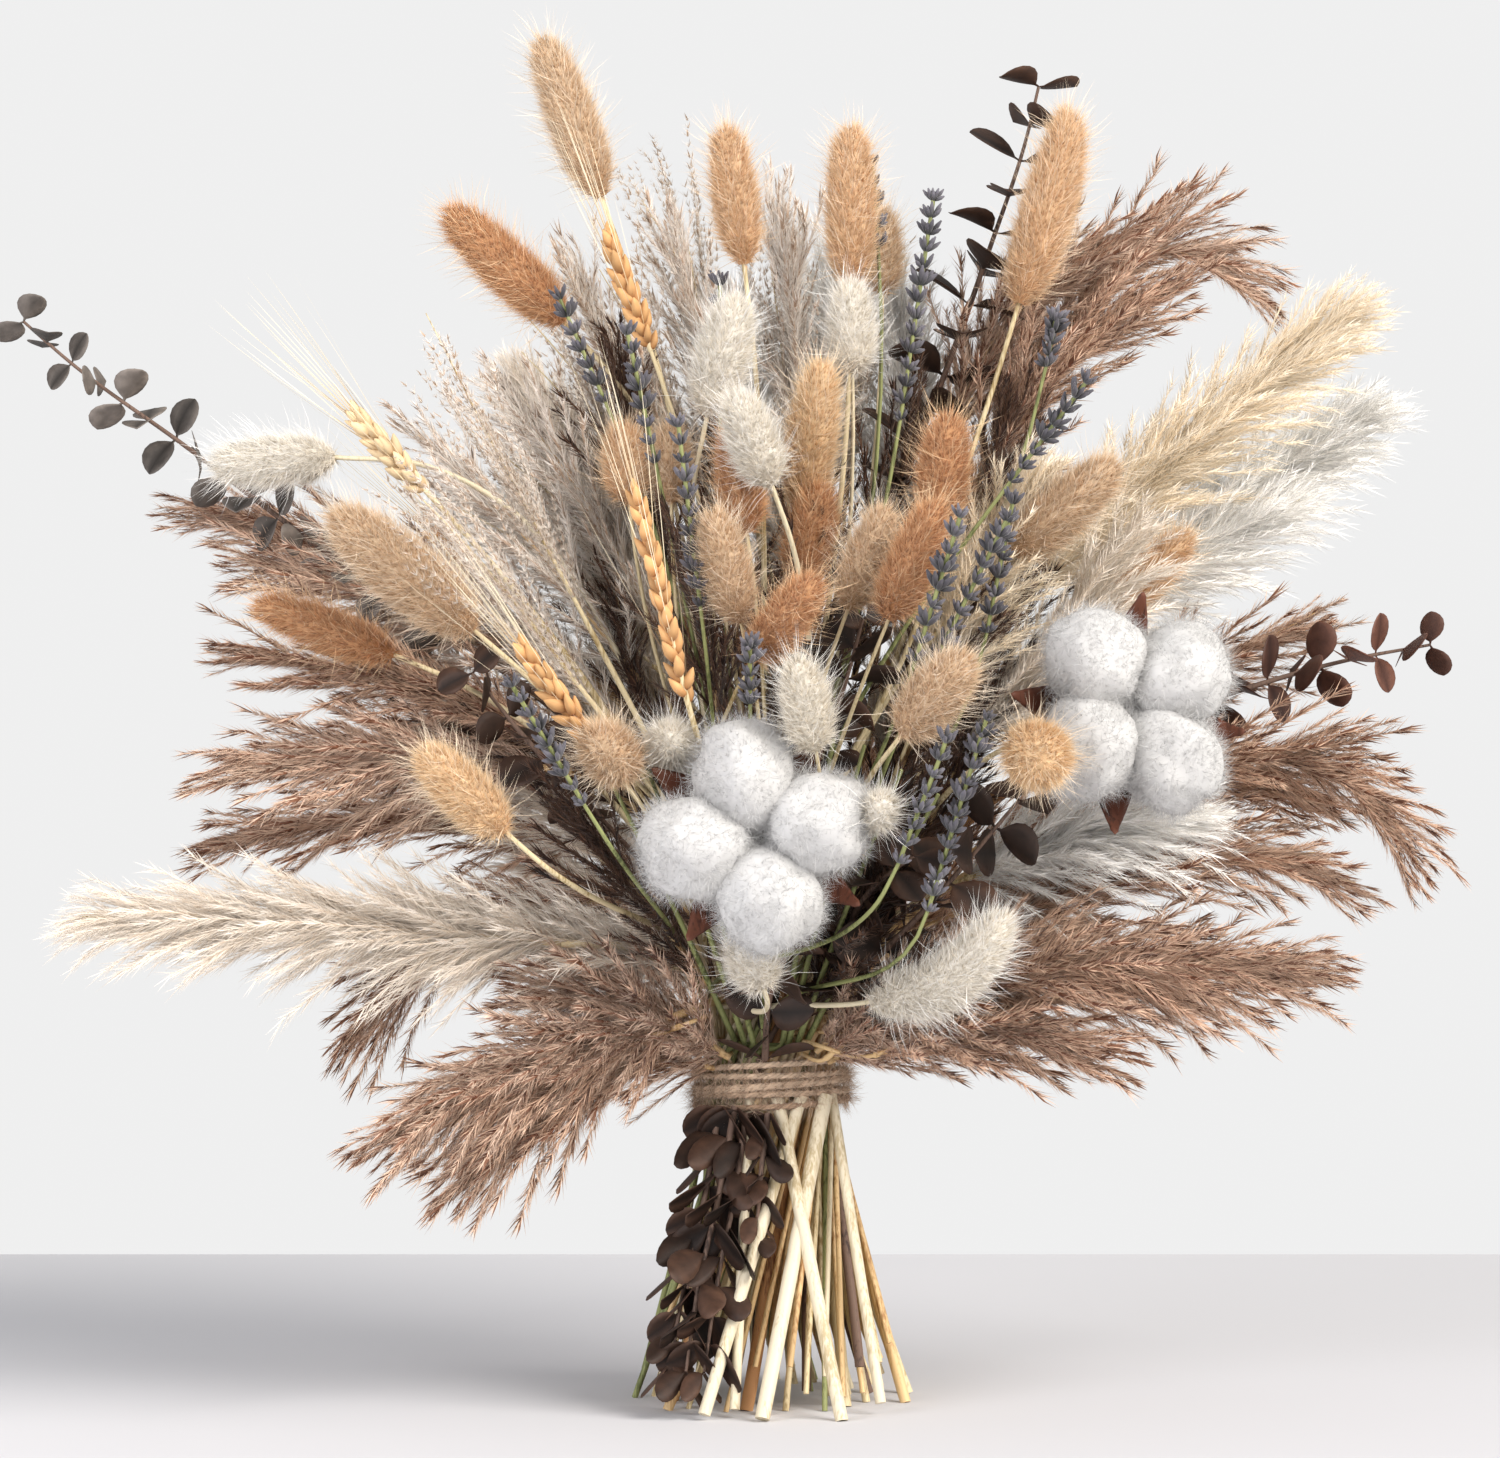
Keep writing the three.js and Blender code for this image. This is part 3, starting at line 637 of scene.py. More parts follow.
def press_flat(mesh, height):
    """Lifts every point that is under a height up to it."""
    places = np.empty(len(mesh.vertices) * 3, np.float32)
    mesh.vertices.foreach_get("co", places)
    places = places.reshape(-1, 3)
    places[:, 2] = np.maximum(places[:, 2], height)
    mesh.vertices.foreach_set("co", places.ravel())


def piece(name, meshes, *nodes, cut=None):
    """One piece of the bunch from several meshes, riding on the bunch and standing for CAD nodes."""
    body = bmesh.new()
    materials = []
    for mesh in meshes:
        before = len(body.faces)
        body.from_mesh(mesh)
        body.faces.ensure_lookup_table()
        for face in body.faces[before:]:
            material = mesh.materials[face.material_index]
            if material not in materials:
                materials.append(material)
            face.material_index = materials.index(material)
    result = bpy.data.meshes.new(name)
    body.to_mesh(result)
    body.free()
    for material in materials:
        result.materials.append(material)
    if cut is not None:
        press_flat(result, cut)
    made = bpy.data.objects.new(name, result)
    bpy.context.collection.objects.link(made)
    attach(made, "root")
    if nodes:
        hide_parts(*nodes)
    return made


print("three trees:", SWEEP.name, FUR.name, SPRAY.name)


# %% [markdown]
# ## Stems
# Every stem runs straight through the tie to its cut end, so the lower third of the bunch is all
# stems. Grass stems are pale golden straw, lavender stems are still green, reed is tan cane, and
# eucalyptus and cotton are wood. Each is swept along its middle line, and the part under the cut is
# pressed flat, so a stem stands on its whole cut face.

# %% Finishes of the stems
STRAW = straw("golden_straw_waxy", "#a48c5e", "#dccba4")
PALE = straw("bleached_straw_waxy", "#c4b696", "#ded2b4")
CANE = straw("cut_cane_bleached", "#b8a682", "#dbcfb5")
GREEN = straw("dried_green_stem", "#565c34", "#8f9460")
BROWN = straw("reed_cane_tan", "#a87c4e", "#dcbc8a")
WOOD = straw("eucalyptus_twig_bark", "#3d2f29", "#6f594d", 0.7)
COTTON_WOOD = straw("cotton_stalk_bark", "#7a5134", "#b98a5e", 0.7)
STEM_STEP, HEAD_STEP = 4 * MM, 2 * MM  # between the points of a rounded line


def stem_and_head(node):
    """A stalk split where its head starts: the stem's line and radii, then the head's."""
    line, radii = walk(node)
    k = STEM_RINGS
    stem = rounded(line[: k + 1], radii[:k] + [0.9 * radii[k - 1]], STEM_STEP)
    return stem, rounded(line[k:], radii[k:], HEAD_STEP)


def frame_stalk(node, ending, skin, make, shade=0.6):
    """The piece for one stalk of the frame: its stem, and the meshes that make gives for its head."""
    stem, head = stem_and_head(node)
    meshes = [sweep(*stem, skin, 8, shade), *make(*head)]
    return piece(f"{node}_{ending}", meshes, node, cut=max(0.0, stem[0][0].z))


# %% [markdown]
# ## Bunny tails
# A bunny tail is a dense egg of soft hairs. Each hair leaves the core at an angle and leans towards
# the tip, and a few longer bristles stand out beyond the rest. The core is swept a little thinner than
# the CAD head, and two coats of fur go over it: a thick short one and a thin long one. Fur made of
# real strands costs more than a fuzzy texture, but only strands give the soft outline.

# %% Fluffy heads
HAIR = hair_tuft("tail_hair", 3, 6.5 * MM, 0.23 * MM, 0.3, 1)
BRISTLE = hair_tuft("tail_bristle", 1, 15 * MM, 0.17 * MM, 0.3, 2, 3)
CORE = 0.74  # the core's radius as a share of the head's
TAILS = {
    "golden": ("#c29a72", "#e9cdab", "#f6e6d0"),
    "rust": ("#b47c4e", "#deac7e", "#f3d3ac"),
    "peach": ("#ca996c", "#eecba2", "#f9e3c8"),
    "honey": ("#d0a272", "#f6d8ae", "#fcead0"),
    "white": ("#e4d9c6", "#fbf5ea", "#fefcf8"),
    "cream": ("#d6c9b2", "#f6efe2", "#fcf8f0"),
}
TAIL_FUR = {n: fibre(f"bunny_tail_fur_{n}", root, tip) for n, (root, tip, _) in TAILS.items()}
TAIL_BRISTLE = {n: fibre(f"bunny_tail_bristle_{n}", tip, end) for n, (_, tip, end) in TAILS.items()}


def tail_skin(colour):
    return PALE if colour == "white" else STRAW


def tail_meshes(line, radii, colour, seed):
    core = sweep(line, [CORE * r for r in radii], TAIL_FUR[colour], 14, 0.2)
    short = fur(core, HAIR, TAIL_FUR[colour], 1.5, 0.5, 0.3, seed)
    long = fur(core, BRISTLE, TAIL_BRISTLE[colour], 0.4, 0.55, 0.45, seed + 1)
    return [core, short, long]


# %% The CAD bunny tails
TAIL_COLOURS = (
    "golden rust peach peach peach white white honey golden peach rust golden "
    "golden white golden rust honey golden white white honey"
).split()
for i, colour in enumerate(TAIL_COLOURS, 1):
    grow = lambda line, radii: tail_meshes(line, radii, colour, i)
    made = frame_stalk(f"bunny_tail_{i}", "fluffy", tail_skin(colour), grow, 0.5)
print(len(TAIL_COLOURS), "bunny tails, the last with", len(made.data.polygons), "faces")

# %% [markdown]
# ## Plumes
# Pampas, reed and silver grass all carry plumes: a thin middle line with hundreds of fine side
# branches. A pampas branch is all silky threads. A reed branch has narrow brown scales among its
# threads and hangs to one side. A silver grass branch is long, with short threads gathered at knots.
# One branch of each is made as strands and sprayed round the line, and the branches droop and are blown
# about a little.

# %% Branches of the plumes
PAMPAS_BRANCH = feather("pampas_branch", 36 * MM, 80, 11 * MM, 0.43 * MM, 0.8, 3)
REED_BRACTS, GRASS_BRACTS = (13, 7 * MM, 0.85 * MM), (26, 4 * MM, 0.8 * MM)
REED_BRANCH = feather("reed_branch", 36 * MM, 110, 9.6 * MM, 0.42 * MM, 0.95, 4, REED_BRACTS)
GRASS_BRANCH = feather("silver_grass_branch", 88 * MM, 330, 7 * MM, 0.28 * MM, 1.6, 5, GRASS_BRACTS, 22)
PAMPAS = {
    "cream": fibre("pampas_silk_cream", "#dcc7ae", "#faf0e3", 0.18),
    "golden": fibre("pampas_silk_golden", "#e3c8a0", "#fdf0da", 0.15),
    "white": fibre("pampas_silk_white", "#e2dacd", "#fdfbf7", 0.1),
}
REED = {
    "brown": fibre("reed_plume_brown", "#6a3d28", "#e2bfa4", turn=0.5),
    "tan": fibre("reed_plume_tan", "#7c4d34", "#eed0b8", turn=0.5),
    # dark is painted shade: a near-black plume that stands in for the shadow deep among the heads
    "dark": fibre("reed_plume_painted_shade", "#321c13", "#6e4f3c", 0.35, turn=0.6),
    "pale": fibre("reed_plume_pale", "#c2a790", "#fdf5ec", 0.2, turn=0.4),
}
SILVER = {"silver": fibre("silver_grass_silk", "#a58970", "#f6ece0", 0.25, turn=0.4)}
TAPER = 0.8  # the share of its thickness that a plume's middle line loses
PAMPAS_LOOK = {"tip_angle": 14, "droop": 5, "wave": 8, "mess": 0.55, "base_size": 0.9, "tip_size": 0.5}
REED_LOOK = {"tip_angle": 8, "droop": 3, "wave": 9, "mess": 0.6, "base_size": 0.75, "tip_size": 0.5}
GRASS_LOOK = {"tip_angle": 5, "droop": 4, "wave": 12, "mess": 0.2, "base_size": 0.9, "tip_size": 0.3}
# For each kind: its stems' radius in mm and finish, the middle line's radius, the share of the line that
# bears branches, the branch and its colours, number, angle and size, and how the branches hang.
PLUMES = {
    "pampas": (1.0, STRAW, 1.3, 0.92, PAMPAS_BRANCH, PAMPAS, 370, 34, 1.0, PAMPAS_LOOK),
    "brown_reed": (1.0, BROWN, 1.1, 0.9, REED_BRANCH, REED, 120, 32, 1.05, REED_LOOK),
    "silver_grass": (0.8, STRAW, 0.8, 0.45, GRASS_BRANCH, SILVER, 22, 12, 0.85, GRASS_LOOK),
}


def plume_meshes(kind, line, colour, seed, count=None):
    _, skin, radius, share, branch, colours, usual, angle, size, look = PLUMES[kind]
    bearing = line[: int(share * len(line))]
    axis = sweep(line, taper(radius, TAPER, line), skin, 6)
    return [axis, spray(bearing, branch, colours[colour], count or usual, angle, size, seed=seed, **look)]


# %% The CAD plumes
FRAME_PLUMES = (
    ("pampas", "silky", "cream golden white white cream"),
    ("brown_reed", "plumed", "tan brown brown brown tan brown tan"),
    ("silver_grass", "plumed", "silver silver silver"),
)
for kind, ending, colours in FRAME_PLUMES:
    for i, colour in enumerate(colours.split(), 1):
        grow = lambda line, radii: plume_meshes(kind, line, colour, i)
        frame_stalk(f"{kind}_{i}", ending, PLUMES[kind][1], grow)
    print(kind, "plumes:", i)

# %% [markdown]
# ## Lavender
# A lavender spike is a stack of whorls with bare stem between them. Each whorl is a ring of small
# ribbed tubes, the calyxes, that keep their grey violet when the flower has dried and dropped. One
# whorl is modelled as a ring of nine tapering tubes and set along the spike.


# %% One whorl
UP = Vector((0, 0, 1))
CALYX = ((0, 0.3), (0.25, 0.72), (0.65, 0.85), (1, 0.3))  # share of the length, and radius in mm
CALYXES = 9  # in a whorl
WHORL_SPACING = 5.2 * MM


def tube_of(rings):
    """A closed tube through rings of points, as places, faces and shares along it."""
    count = len(rings[0])
    points = [p for ring in rings for p in ring]
    along = [k / (len(rings) - 1) for k, ring in enumerate(rings) for _ in ring]
    faces = [tuple(range(count))[::-1], tuple(range(len(points) - count, len(points)))]
    for k in range(len(rings) - 1):
        for j in range(count):
            a, b = k * count + j, k * count + (j + 1) % count
            faces.append((a, b, b + count, a + count))
    return points, faces, along


def ring_of(middle, way, radius, count, squash=1.0):
    side = way.orthogonal().normalized()
    up = way.normalized().cross(side)
    angles = [2 * math.pi * j / count for j in range(count)]
    return [middle + radius * (math.cos(a) * side + squash * math.sin(a) * up) for a in angles]


def gathered(name, tubes):
    """One mesh of several closed shells."""
    points, faces, along = [], [], []
    for more, polygons, shares in tubes:
        faces += [tuple(i + len(points) for i in polygon) for polygon in polygons]
        points += more
        along += shares
    return part_mesh(name, points, faces, along)


def calyx(turn, length, lift):
    out = Vector((math.cos(turn), math.sin(turn), 0))
    way = (out + lift * UP).normalized()
    start = out * 0.6 * MM
    return tube_of([ring_of(start + way * length * t, way, r * MM, 5) for t, r in CALYX])


def whorl(name, seed):
    rng = random.Random(seed)
    turns = [2 * math.pi * j / CALYXES + rng.uniform(-0.3, 0.3) for j in range(CALYXES)]
    return gathered(name, [calyx(a, rng.uniform(3.2, 6.6) * MM, rng.uniform(0.5, 2.2)) for a in turns])


WHORL = whorl("lavender_whorl", 6)
LAVENDER = fibre("lavender_calyx_dry", "#34362e", "#68656d", 0.5, 0.9, 0.3, 0.8)


def lavender_meshes(line, seed):
    axis = sweep(line, [0.7 * MM] * len(line), GREEN, 6)
    whorls = max(5, round(length_of(line) / WHORL_SPACING))
    look = {"turn": 40, "mess": 0.45, "base_size": 0.8, "tip_size": 0.55, "seed": seed}
    return [axis, spray(line, WHORL, LAVENDER, whorls, 4, 1.0, **look)]


for i in range(1, 7):
    frame_stalk(f"lavender_{i}", "whorled", GREEN, lambda line, radii: lavender_meshes(line, i))
print("lavender spikes:", i)

# %% [markdown]
# ## Wheat
# An ear of wheat is two rows of overlapping grains in their husks, and each husk ends in a long stiff
# bristle, the awn. Grains and awns are two sprays on one line, both turning nearly half a turn each time.

# %% Grains and awns
GRAIN_SHAPE = ((0, 0.25), (0.2, 0.85), (0.5, 1.0), (0.8, 0.6), (1, 0.12))
GRAIN_LENGTH, GRAIN_RADIUS, GRAIN_SQUASH = 9.5 * MM, 2.3 * MM, 0.75
grain_rings = [
    ring_of(Vector((0, 0, GRAIN_LENGTH * t)), UP, GRAIN_RADIUS * r, 7, GRAIN_SQUASH) for t, r in GRAIN_SHAPE
]
GRAIN = gathered("wheat_grain", [tube_of(grain_rings)])
awn_line = bent(Vector((0, 0, 6 * MM)), UP, Vector((0, 0.12, 0)), 62 * MM, 5)
AWN = strand_mesh("wheat_awn", [(awn_line, 0.36 * MM, Vector((1, 0, 0)))])
AWN_STRAW = fibre("wheat_awn_straw", "#c9a877", "#f1e4c8", 0.2, 0.6, 0.1)
WHEAT = {
    "ripe": fibre("wheat_husk_ripe", "#9c5f2c", "#dfae77", 0.35, 0.6, 0.1, 0.6),
    "pale": fibre("wheat_husk_pale", "#a97f50", "#ecd2a8", 0.3, 0.6, 0.1, 0.6),
}
WHEAT_TURN = 150  # nearly half a turn from one grain to the next, so that the rows wind a little


def wheat_meshes(line, colour, seed):
    axis = sweep(line, [MM] * len(line), STRAW, 6)
    look = {"turn": WHEAT_TURN, "mess": 0.25, "base_size": 0.7, "tip_size": 0.7, "seed": seed}
    grains = spray(line, GRAIN, WHEAT[colour], 30, 32, tip_angle=20, **look)
    awns = spray(line, AWN, AWN_STRAW, 26, 18, tip_angle=8, **look)
    return [axis, grains, awns]


for i, colour in enumerate("ripe ripe pale".split(), 1):
    frame_stalk(f"wheat_{i}", "bearded", STRAW, lambda line, radii: wheat_meshes(line, colour, i))
print("ears of wheat:", i)


# %% [markdown]
# ## Eucalyptus
# The sprigs carry round leathery leaves in crossing pairs. Dried, they are dark brown with a grey
# bloom underneath, and each leaf cups and folds a little along its rib. A pair of closed leaf shells
# is modelled once for each sprig's leaf size and set along the twig with a quarter turn from pair to
# pair. The twig below the leaves is read from the CAD, and the leafy part repeats its few points.

# %% A pair of leaves
LEAF_SHAPE = ((0, 0.06), (0.1, 0.1), (0.16, 0.38), (0.26, 0.72), (0.4, 0.94))
LEAF_SHAPE += ((0.56, 1.0), (0.72, 0.92), (0.86, 0.68), (0.95, 0.38), (1, 0.06))
ACROSS = (-1, -0.5, 0, 0.5, 1)  # a row of points across each face of the leaf
HALF_WIDTH = 0.42  # of the leaf's length
THICK = 0.22 * MM


def leaf_shell(length, turn, lift, cup, roll, twist):
    """One leaf as a closed shell that grows sideways from the twig, cupped, rolled and twisted."""
    out = Vector((math.cos(turn), math.sin(turn), 0))
    side = Vector((-math.sin(turn) * math.cos(twist), math.cos(turn) * math.cos(twist), math.sin(twist)))
    face_way = out.cross(side)
    rows, along = [], []
    for t, share in LEAF_SHAPE:
        middle = out * length * t + Vector((0, 0, length * (lift * t - cup * t * t)))
        for face in (1, -1):
            for s in ACROSS:
                bend = face_way * abs(s) ** 1.5 * roll * share * length
                crest = face_way * face * THICK * (1.4 - abs(s))
                rows.append(middle + side * HALF_WIDTH * length * share * s + bend + crest)
                along.append(abs(s) if face > 0 else 0.45 + 0.4 * abs(s))
    # Each row of ten points is five of the upper face and then five of the lower one.
    faces = []
    for a in range(0, 10 * (len(LEAF_SHAPE) - 1), 10):
        for j in range(4):
            faces.append((a + j, a + 10 + j, a + 11 + j, a + 1 + j))
            faces.append((a + 5 + j, a + 6 + j, a + 16 + j, a + 15 + j))
        faces.append((a, a + 5, a + 15, a + 10))
        faces.append((a + 4, a + 14, a + 19, a + 9))
    last = 10 * (len(LEAF_SHAPE) - 1)
    faces.append((0, 1, 2, 3, 4, 9, 8, 7, 6, 5))
    faces.append(tuple(last + k for k in (5, 6, 7, 8, 9, 4, 3, 2, 1, 0)))
    return rows, faces, along


def leaf_pair(name, length, seed, twist, rise):
    """Two leaves facing each other. They rise towards the tip by about rise times their length."""
    rng = random.Random(seed)
    reach = length / math.hypot(1, rise)
    leaves = []
    for turn, way in ((0, 1), (math.pi, -1)):
        lift, cup, roll = rise + rng.uniform(-0.15, 0.15), rng.uniform(-0.2, 0.3), rng.uniform(0.02, 0.16)
        leaves.append(leaf_shell(reach, turn, lift, cup, roll, way * twist))
    return gathered(name, leaves)


def leather_leaf(name, face, under):
    """Dried eucalyptus leaf: dark leathery face, paler bloom towards the rim and underneath."""
    material, tree, shader = new_material(name, face, 0.62, 0.35)
    mottle = speckle(tree, add(tree, "ShaderNodeTexCoord").outputs["Object"], 260, 3)
    bloom = maths(tree, "MULTIPLY", stored_number(tree, "along"), mottle)
    shaded(tree, shader, ramp(tree, bloom, face, under, 0.0, 0.55), 0.4, 1.25)
    relief(tree, shader, mottle, 0.4, 0.4 * MM)
    return material


LEAF = {
    "dark": leather_leaf("eucalyptus_leaf_dark", "#20140f", "#50382b"),
    "grey": leather_leaf("eucalyptus_leaf_grey", "#37322e", "#7a716a"),
    "red": leather_leaf("eucalyptus_leaf_red", "#3f231a", "#70493a"),
}


def leafy_meshes(line, leaf, colour, seed, spacing, twist, rise=0.35):
    """Pairs of leaves along a leafy run, spaced by a share of their length, and the twig through them."""
    twig = sweep(line, taper(1.3, 0.6, line), WOOD, 6)
    pairs = max(3, round(length_of(line) / (spacing * leaf)) + 1)
    look = {"turn": 90, "mess": 0.25, "base_size": 1.0, "tip_size": 0.55, "seed": seed}
    pair = leaf_pair("leaf_pair", leaf, seed, twist, rise)
    return [twig, spray(line, pair, LEAF[colour], pairs, 0, 1.0, **look)]


# %% The CAD sprigs
def from_tie(points):
    """Points in millimetres from the tie's axis and the floor, as places in the frame."""
    return [Vector((TIE.x + x * MM, TIE.y + y * MM, z * MM)) for x, y, z in points]


def smooth_line(points, step=2.0):
    """A smooth line in metres through points as from_tie takes them, with a step in millimetres."""
    return rounded(from_tie(points), [MM] * len(points), step * MM)[0]


# Leaf length in mm, spacing, twist, colour and points of each leafy run.
LEAFY_RUNS = (
    (21, 0.62, 0.35, "dark", ((44, 42, 306), (60, 46, 345), (74, 50, 384), (87, 52, 423), (91, 52, 440))),
    (15, 0.72, 0.9, "grey",
     ((-102, 4, 252), (-152, 12, 285), (-196, 16, 318), (-236, 20, 347), (-251, 22, 360))),
    (16, 0.62, 0.8, "red", ((122, 18, 224), (158, 24, 236), (195, 30, 246), (223, 34, 251))),
)
for i, (leaf, spacing, twist, colour, points) in enumerate(LEAFY_RUNS, 1):
    node = f"eucalyptus_{i}"
    line, radii = walk(node)
    join = line[:STEM_RINGS] + from_tie(points[:1]), radii[:STEM_RINGS] + [radii[STEM_RINGS - 1]]
    bare = rounded(*join, STEM_STEP)
    leafy = leafy_meshes(smooth_line(points, 3), leaf * MM, colour, i, spacing, twist)
    piece(f"{node}_leafy", [sweep(*bare, WOOD), *leafy], node, cut=max(0.0, bare[0][0].z))

# The fourth sprig is bound in tip down. It hangs outside the stems, from the twine to the floor.
HANGING = (
    (19, ((-12, -25, 100), (-17, -31, 72), (-24, -42, 42), (-28, -48, 15))),
    (17, ((-17, -22, 100), (-22, -27, 70), (-29, -36, 40), (-33, -44, 17))),
    (18, ((-8, -25, 98), (-12, -31, 72), (-18, -41, 42), (-22, -49, 15))),
    (14, ((-1, -27, 98), (-3, -31, 82), (-5, -37, 58))),
)
hung = []
for i, (leaf, points) in enumerate(HANGING):
    hung += leafy_meshes(smooth_line(points, 3), leaf * MM, "dark", 11 + i, 0.52, 0.9, 0.85)
piece("eucalyptus_4_leafy", hung, "eucalyptus_4", cut=0.0)
print("leafy runs:", len(LEAFY_RUNS), "up and", len(HANGING), "down")


# %% [markdown]
# ## Cotton
# A ripe boll is four locks of fibre in an open dry husk. Each lock is a soft lump whose surface is
# loose tangled fibre, so it is a displaced ball under a coat of very fine curling hairs. The husk's
# bracts are thin woody blades that show between the locks.

# %% Locks of cotton
LOCK_HALF = (15 * MM, 13.6 * MM, 15.5 * MM)
SWIRL = 9 * MM  # size of the swirls in the lint
COTTON_FIBRE = hair_tuft("cotton_fibre", 3, 4.6 * MM, 0.11 * MM, 0.9, 8, 3)
COTTON = fibre("raw_cotton_lint", "#b3b2b1", "#c3c2c1", 0.05, 0.95, 0.0)
HUSK = straw("cotton_husk_woody", "#2c1812", "#653b2b", 0.55, 700)
BRACT = ((0, 0.3), (0.2, 0.85), (0.4, 1.0), (0.6, 0.85), (0.8, 0.5), (0.93, 0.22), (1, 0.03))
BRACT_LENGTH, BRACT_HALF_WIDTH, BRACT_CURL, BRACT_RIPPLE = 40 * MM, 8 * MM, 16.5 * MM, 1.2 * MM
BRACT_SECTION = ((-1, 0.0), (0, 0.7), (1, 0.0), (0, -0.5))  # across, and depth in mm
noise.seed_set(1)  # vector noise is otherwise seeded from the clock, and the lint would change each run


def lock_mesh(middle, out, facing, seed):
    """A lump at middle, long along out, with swirling flow for its fibres."""
    ball = bmesh.new()
    bmesh.ops.create_icosphere(ball, subdivisions=4, radius=1.0)
    across = out.cross(facing)
    offset = Vector((seed * 7.3, seed * 3.1, 0))
    for v in ball.verts:
        p = v.co.copy()
        p *= 1.19 + 0.2 * noise.noise(p * 1.4 + offset) + 0.06 * noise.noise(p * 5 + offset)
        v.co = middle + out * p.x * LOCK_HALF[0] + across * p.y * LOCK_HALF[1] + facing * p.z * LOCK_HALF[2]
    ball.normal_update()
    bmesh.ops.recalc_face_normals(ball, faces=ball.faces)
    mesh = bpy.data.meshes.new("lock")
    ball.to_mesh(mesh)
    ball.free()
    swirl = [noise.noise_vector(v.co / SWIRL + offset).normalized() for v in mesh.vertices]
    store(mesh, "flow", [c for v in swirl for c in v], "FLOAT_VECTOR", "vector")
    store(mesh, "along", [0.8] * len(mesh.vertices))
    store(mesh, "shade", [0.9] * len(mesh.vertices))
    mesh.polygons.foreach_set("use_smooth", [True] * len(mesh.polygons))
    mesh.materials.append(COTTON)
    return mesh


def husk_mesh(heart, facing, sides):
    """The bracts: pointed woody blades from the heart of the boll, curving forwards between locks."""
    blades = []
    for i, side in enumerate(sides):
        ridge = side.cross(facing).normalized()
        rows, faces = [], []
        for t, share in BRACT:
            forwards = BRACT_CURL * t * t + BRACT_RIPPLE * math.sin(9 * t + i)
            middle = heart + side * BRACT_LENGTH * t + facing * forwards
            for s, depth in BRACT_SECTION:
                thick = facing * depth * MM * (0.4 + share)
                rows.append(middle + ridge * BRACT_HALF_WIDTH * share * s + thick)
        count = len(BRACT)
        for k in range(count - 1):
            for j in range(4):
                a, b = 4 * k + j, 4 * k + (j + 1) % 4
                faces.append((a, b, b + 4, a + 4))
        faces += [(3, 2, 1, 0), tuple(4 * (count - 1) + j for j in range(4))]
        blades.append((rows, faces, [k / count for k in range(count) for _ in range(4)]))
    husk = gathered("husk", blades).data
    body = bmesh.new()
    body.from_mesh(husk)
    bmesh.ops.recalc_face_normals(body, faces=body.faces)
    bmesh.ops.subdivide_edges(body, edges=body.edges, cuts=1, use_grid_fill=True, smooth=0.6)
    body.to_mesh(husk)
    body.free()
    husk.polygons.foreach_set("use_smooth", [True] * len(husk.polygons))
    husk.materials.append(HUSK)
    return husk


# %% The two bolls
BOLL_DEPTH = 20.5 * MM  # from the middle of the locks back to the end of the stem
for boll in (1, 2):
    nodes = [f"cotton_boll_{boll}_lock_{k}" for k in (1, 2, 3, 4)]
    middles = [(Vector(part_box(n)[0]) + Vector(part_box(n)[1])) / 2 for n in nodes]
    heart = mean(middles)
    line, radii = walk(f"cotton_stem_{boll}")
    facing = (middles[0] - heart).cross(middles[1] - heart).normalized()
    if facing.y > 0:
        facing = -facing
    outs = [(m - heart).normalized() for m in middles]
    for k, (node, middle, out) in enumerate(zip(nodes, middles, outs)):
        lump = lock_mesh(middle, out, facing, 4 * boll + k)
        lint = fur(lump, COTTON_FIBRE, COTTON, 0.5, 0.5, 0.5, k + 1)
        piece(f"{node}_lint", [lump, lint], node)
    sides = [(a + b).normalized() for a, b in zip(outs, outs[1:] + outs[:1])]
    base = heart - facing * BOLL_DEPTH
    stem = rounded(line[:STEM_RINGS] + [base], radii[:STEM_RINGS] + [5 * MM], STEM_STEP)
    meshes = [sweep(*stem, COTTON_WOOD, 10), husk_mesh(base, facing, sides)]
    piece(f"cotton_stem_{boll}_husk", meshes, f"cotton_stem_{boll}", cut=0.0)
print("2 bolls of 4 locks, the last lock with", len(lint.polygons), "faces of lint")

# %% [markdown]
# ## Twine
# The tie is jute: three plies of brown fibre twisted into one thin cord and wound six times round
# the stems. A ply is a helix round the winding's own helix, worked out by a loop, and loose fibre
# ends stand out all along it.

# %% Plies round the stems
TURNS = 6
CORD = 1.1 * MM  # radius of the cord, in which three plies lie side by side
PLY = 0.56 * CORD
PLY_TWISTS = 26  # in one turn round the stems
TWINE_STEPS = 110  # points in one turn
WINDING = (high.x - low.x) / 2 - CORD
RISE = (high.z - low.z - 2 * CORD) / TURNS


def twine_point(t):
    """The middle of the cord after t turns, with the small unevenness of winding by hand."""
    a = 2 * math.pi * t
    z = low.z + CORD + RISE * t + 1.7 * MM * math.sin(a + 2.4) + 1.2 * MM * math.sin(0.71 * a + 1)
    r = WINDING + 0.25 * MM * math.sin(3 * a + t)
    return Vector((TIE.x + r * math.cos(a), TIE.y + r * math.sin(a), z))


def ply_line(number):
    line = []
    for k in range(TURNS * TWINE_STEPS + 1):
        t = k / TWINE_STEPS
        middle = twine_point(t)
        out = Vector((middle.x - TIE.x, middle.y - TIE.y, 0)).normalized()
        a = 2 * math.pi * (PLY_TWISTS * t + number / 3)
        line.append(middle + PLY * (math.cos(a) * out + math.sin(a) * UP))
    return line


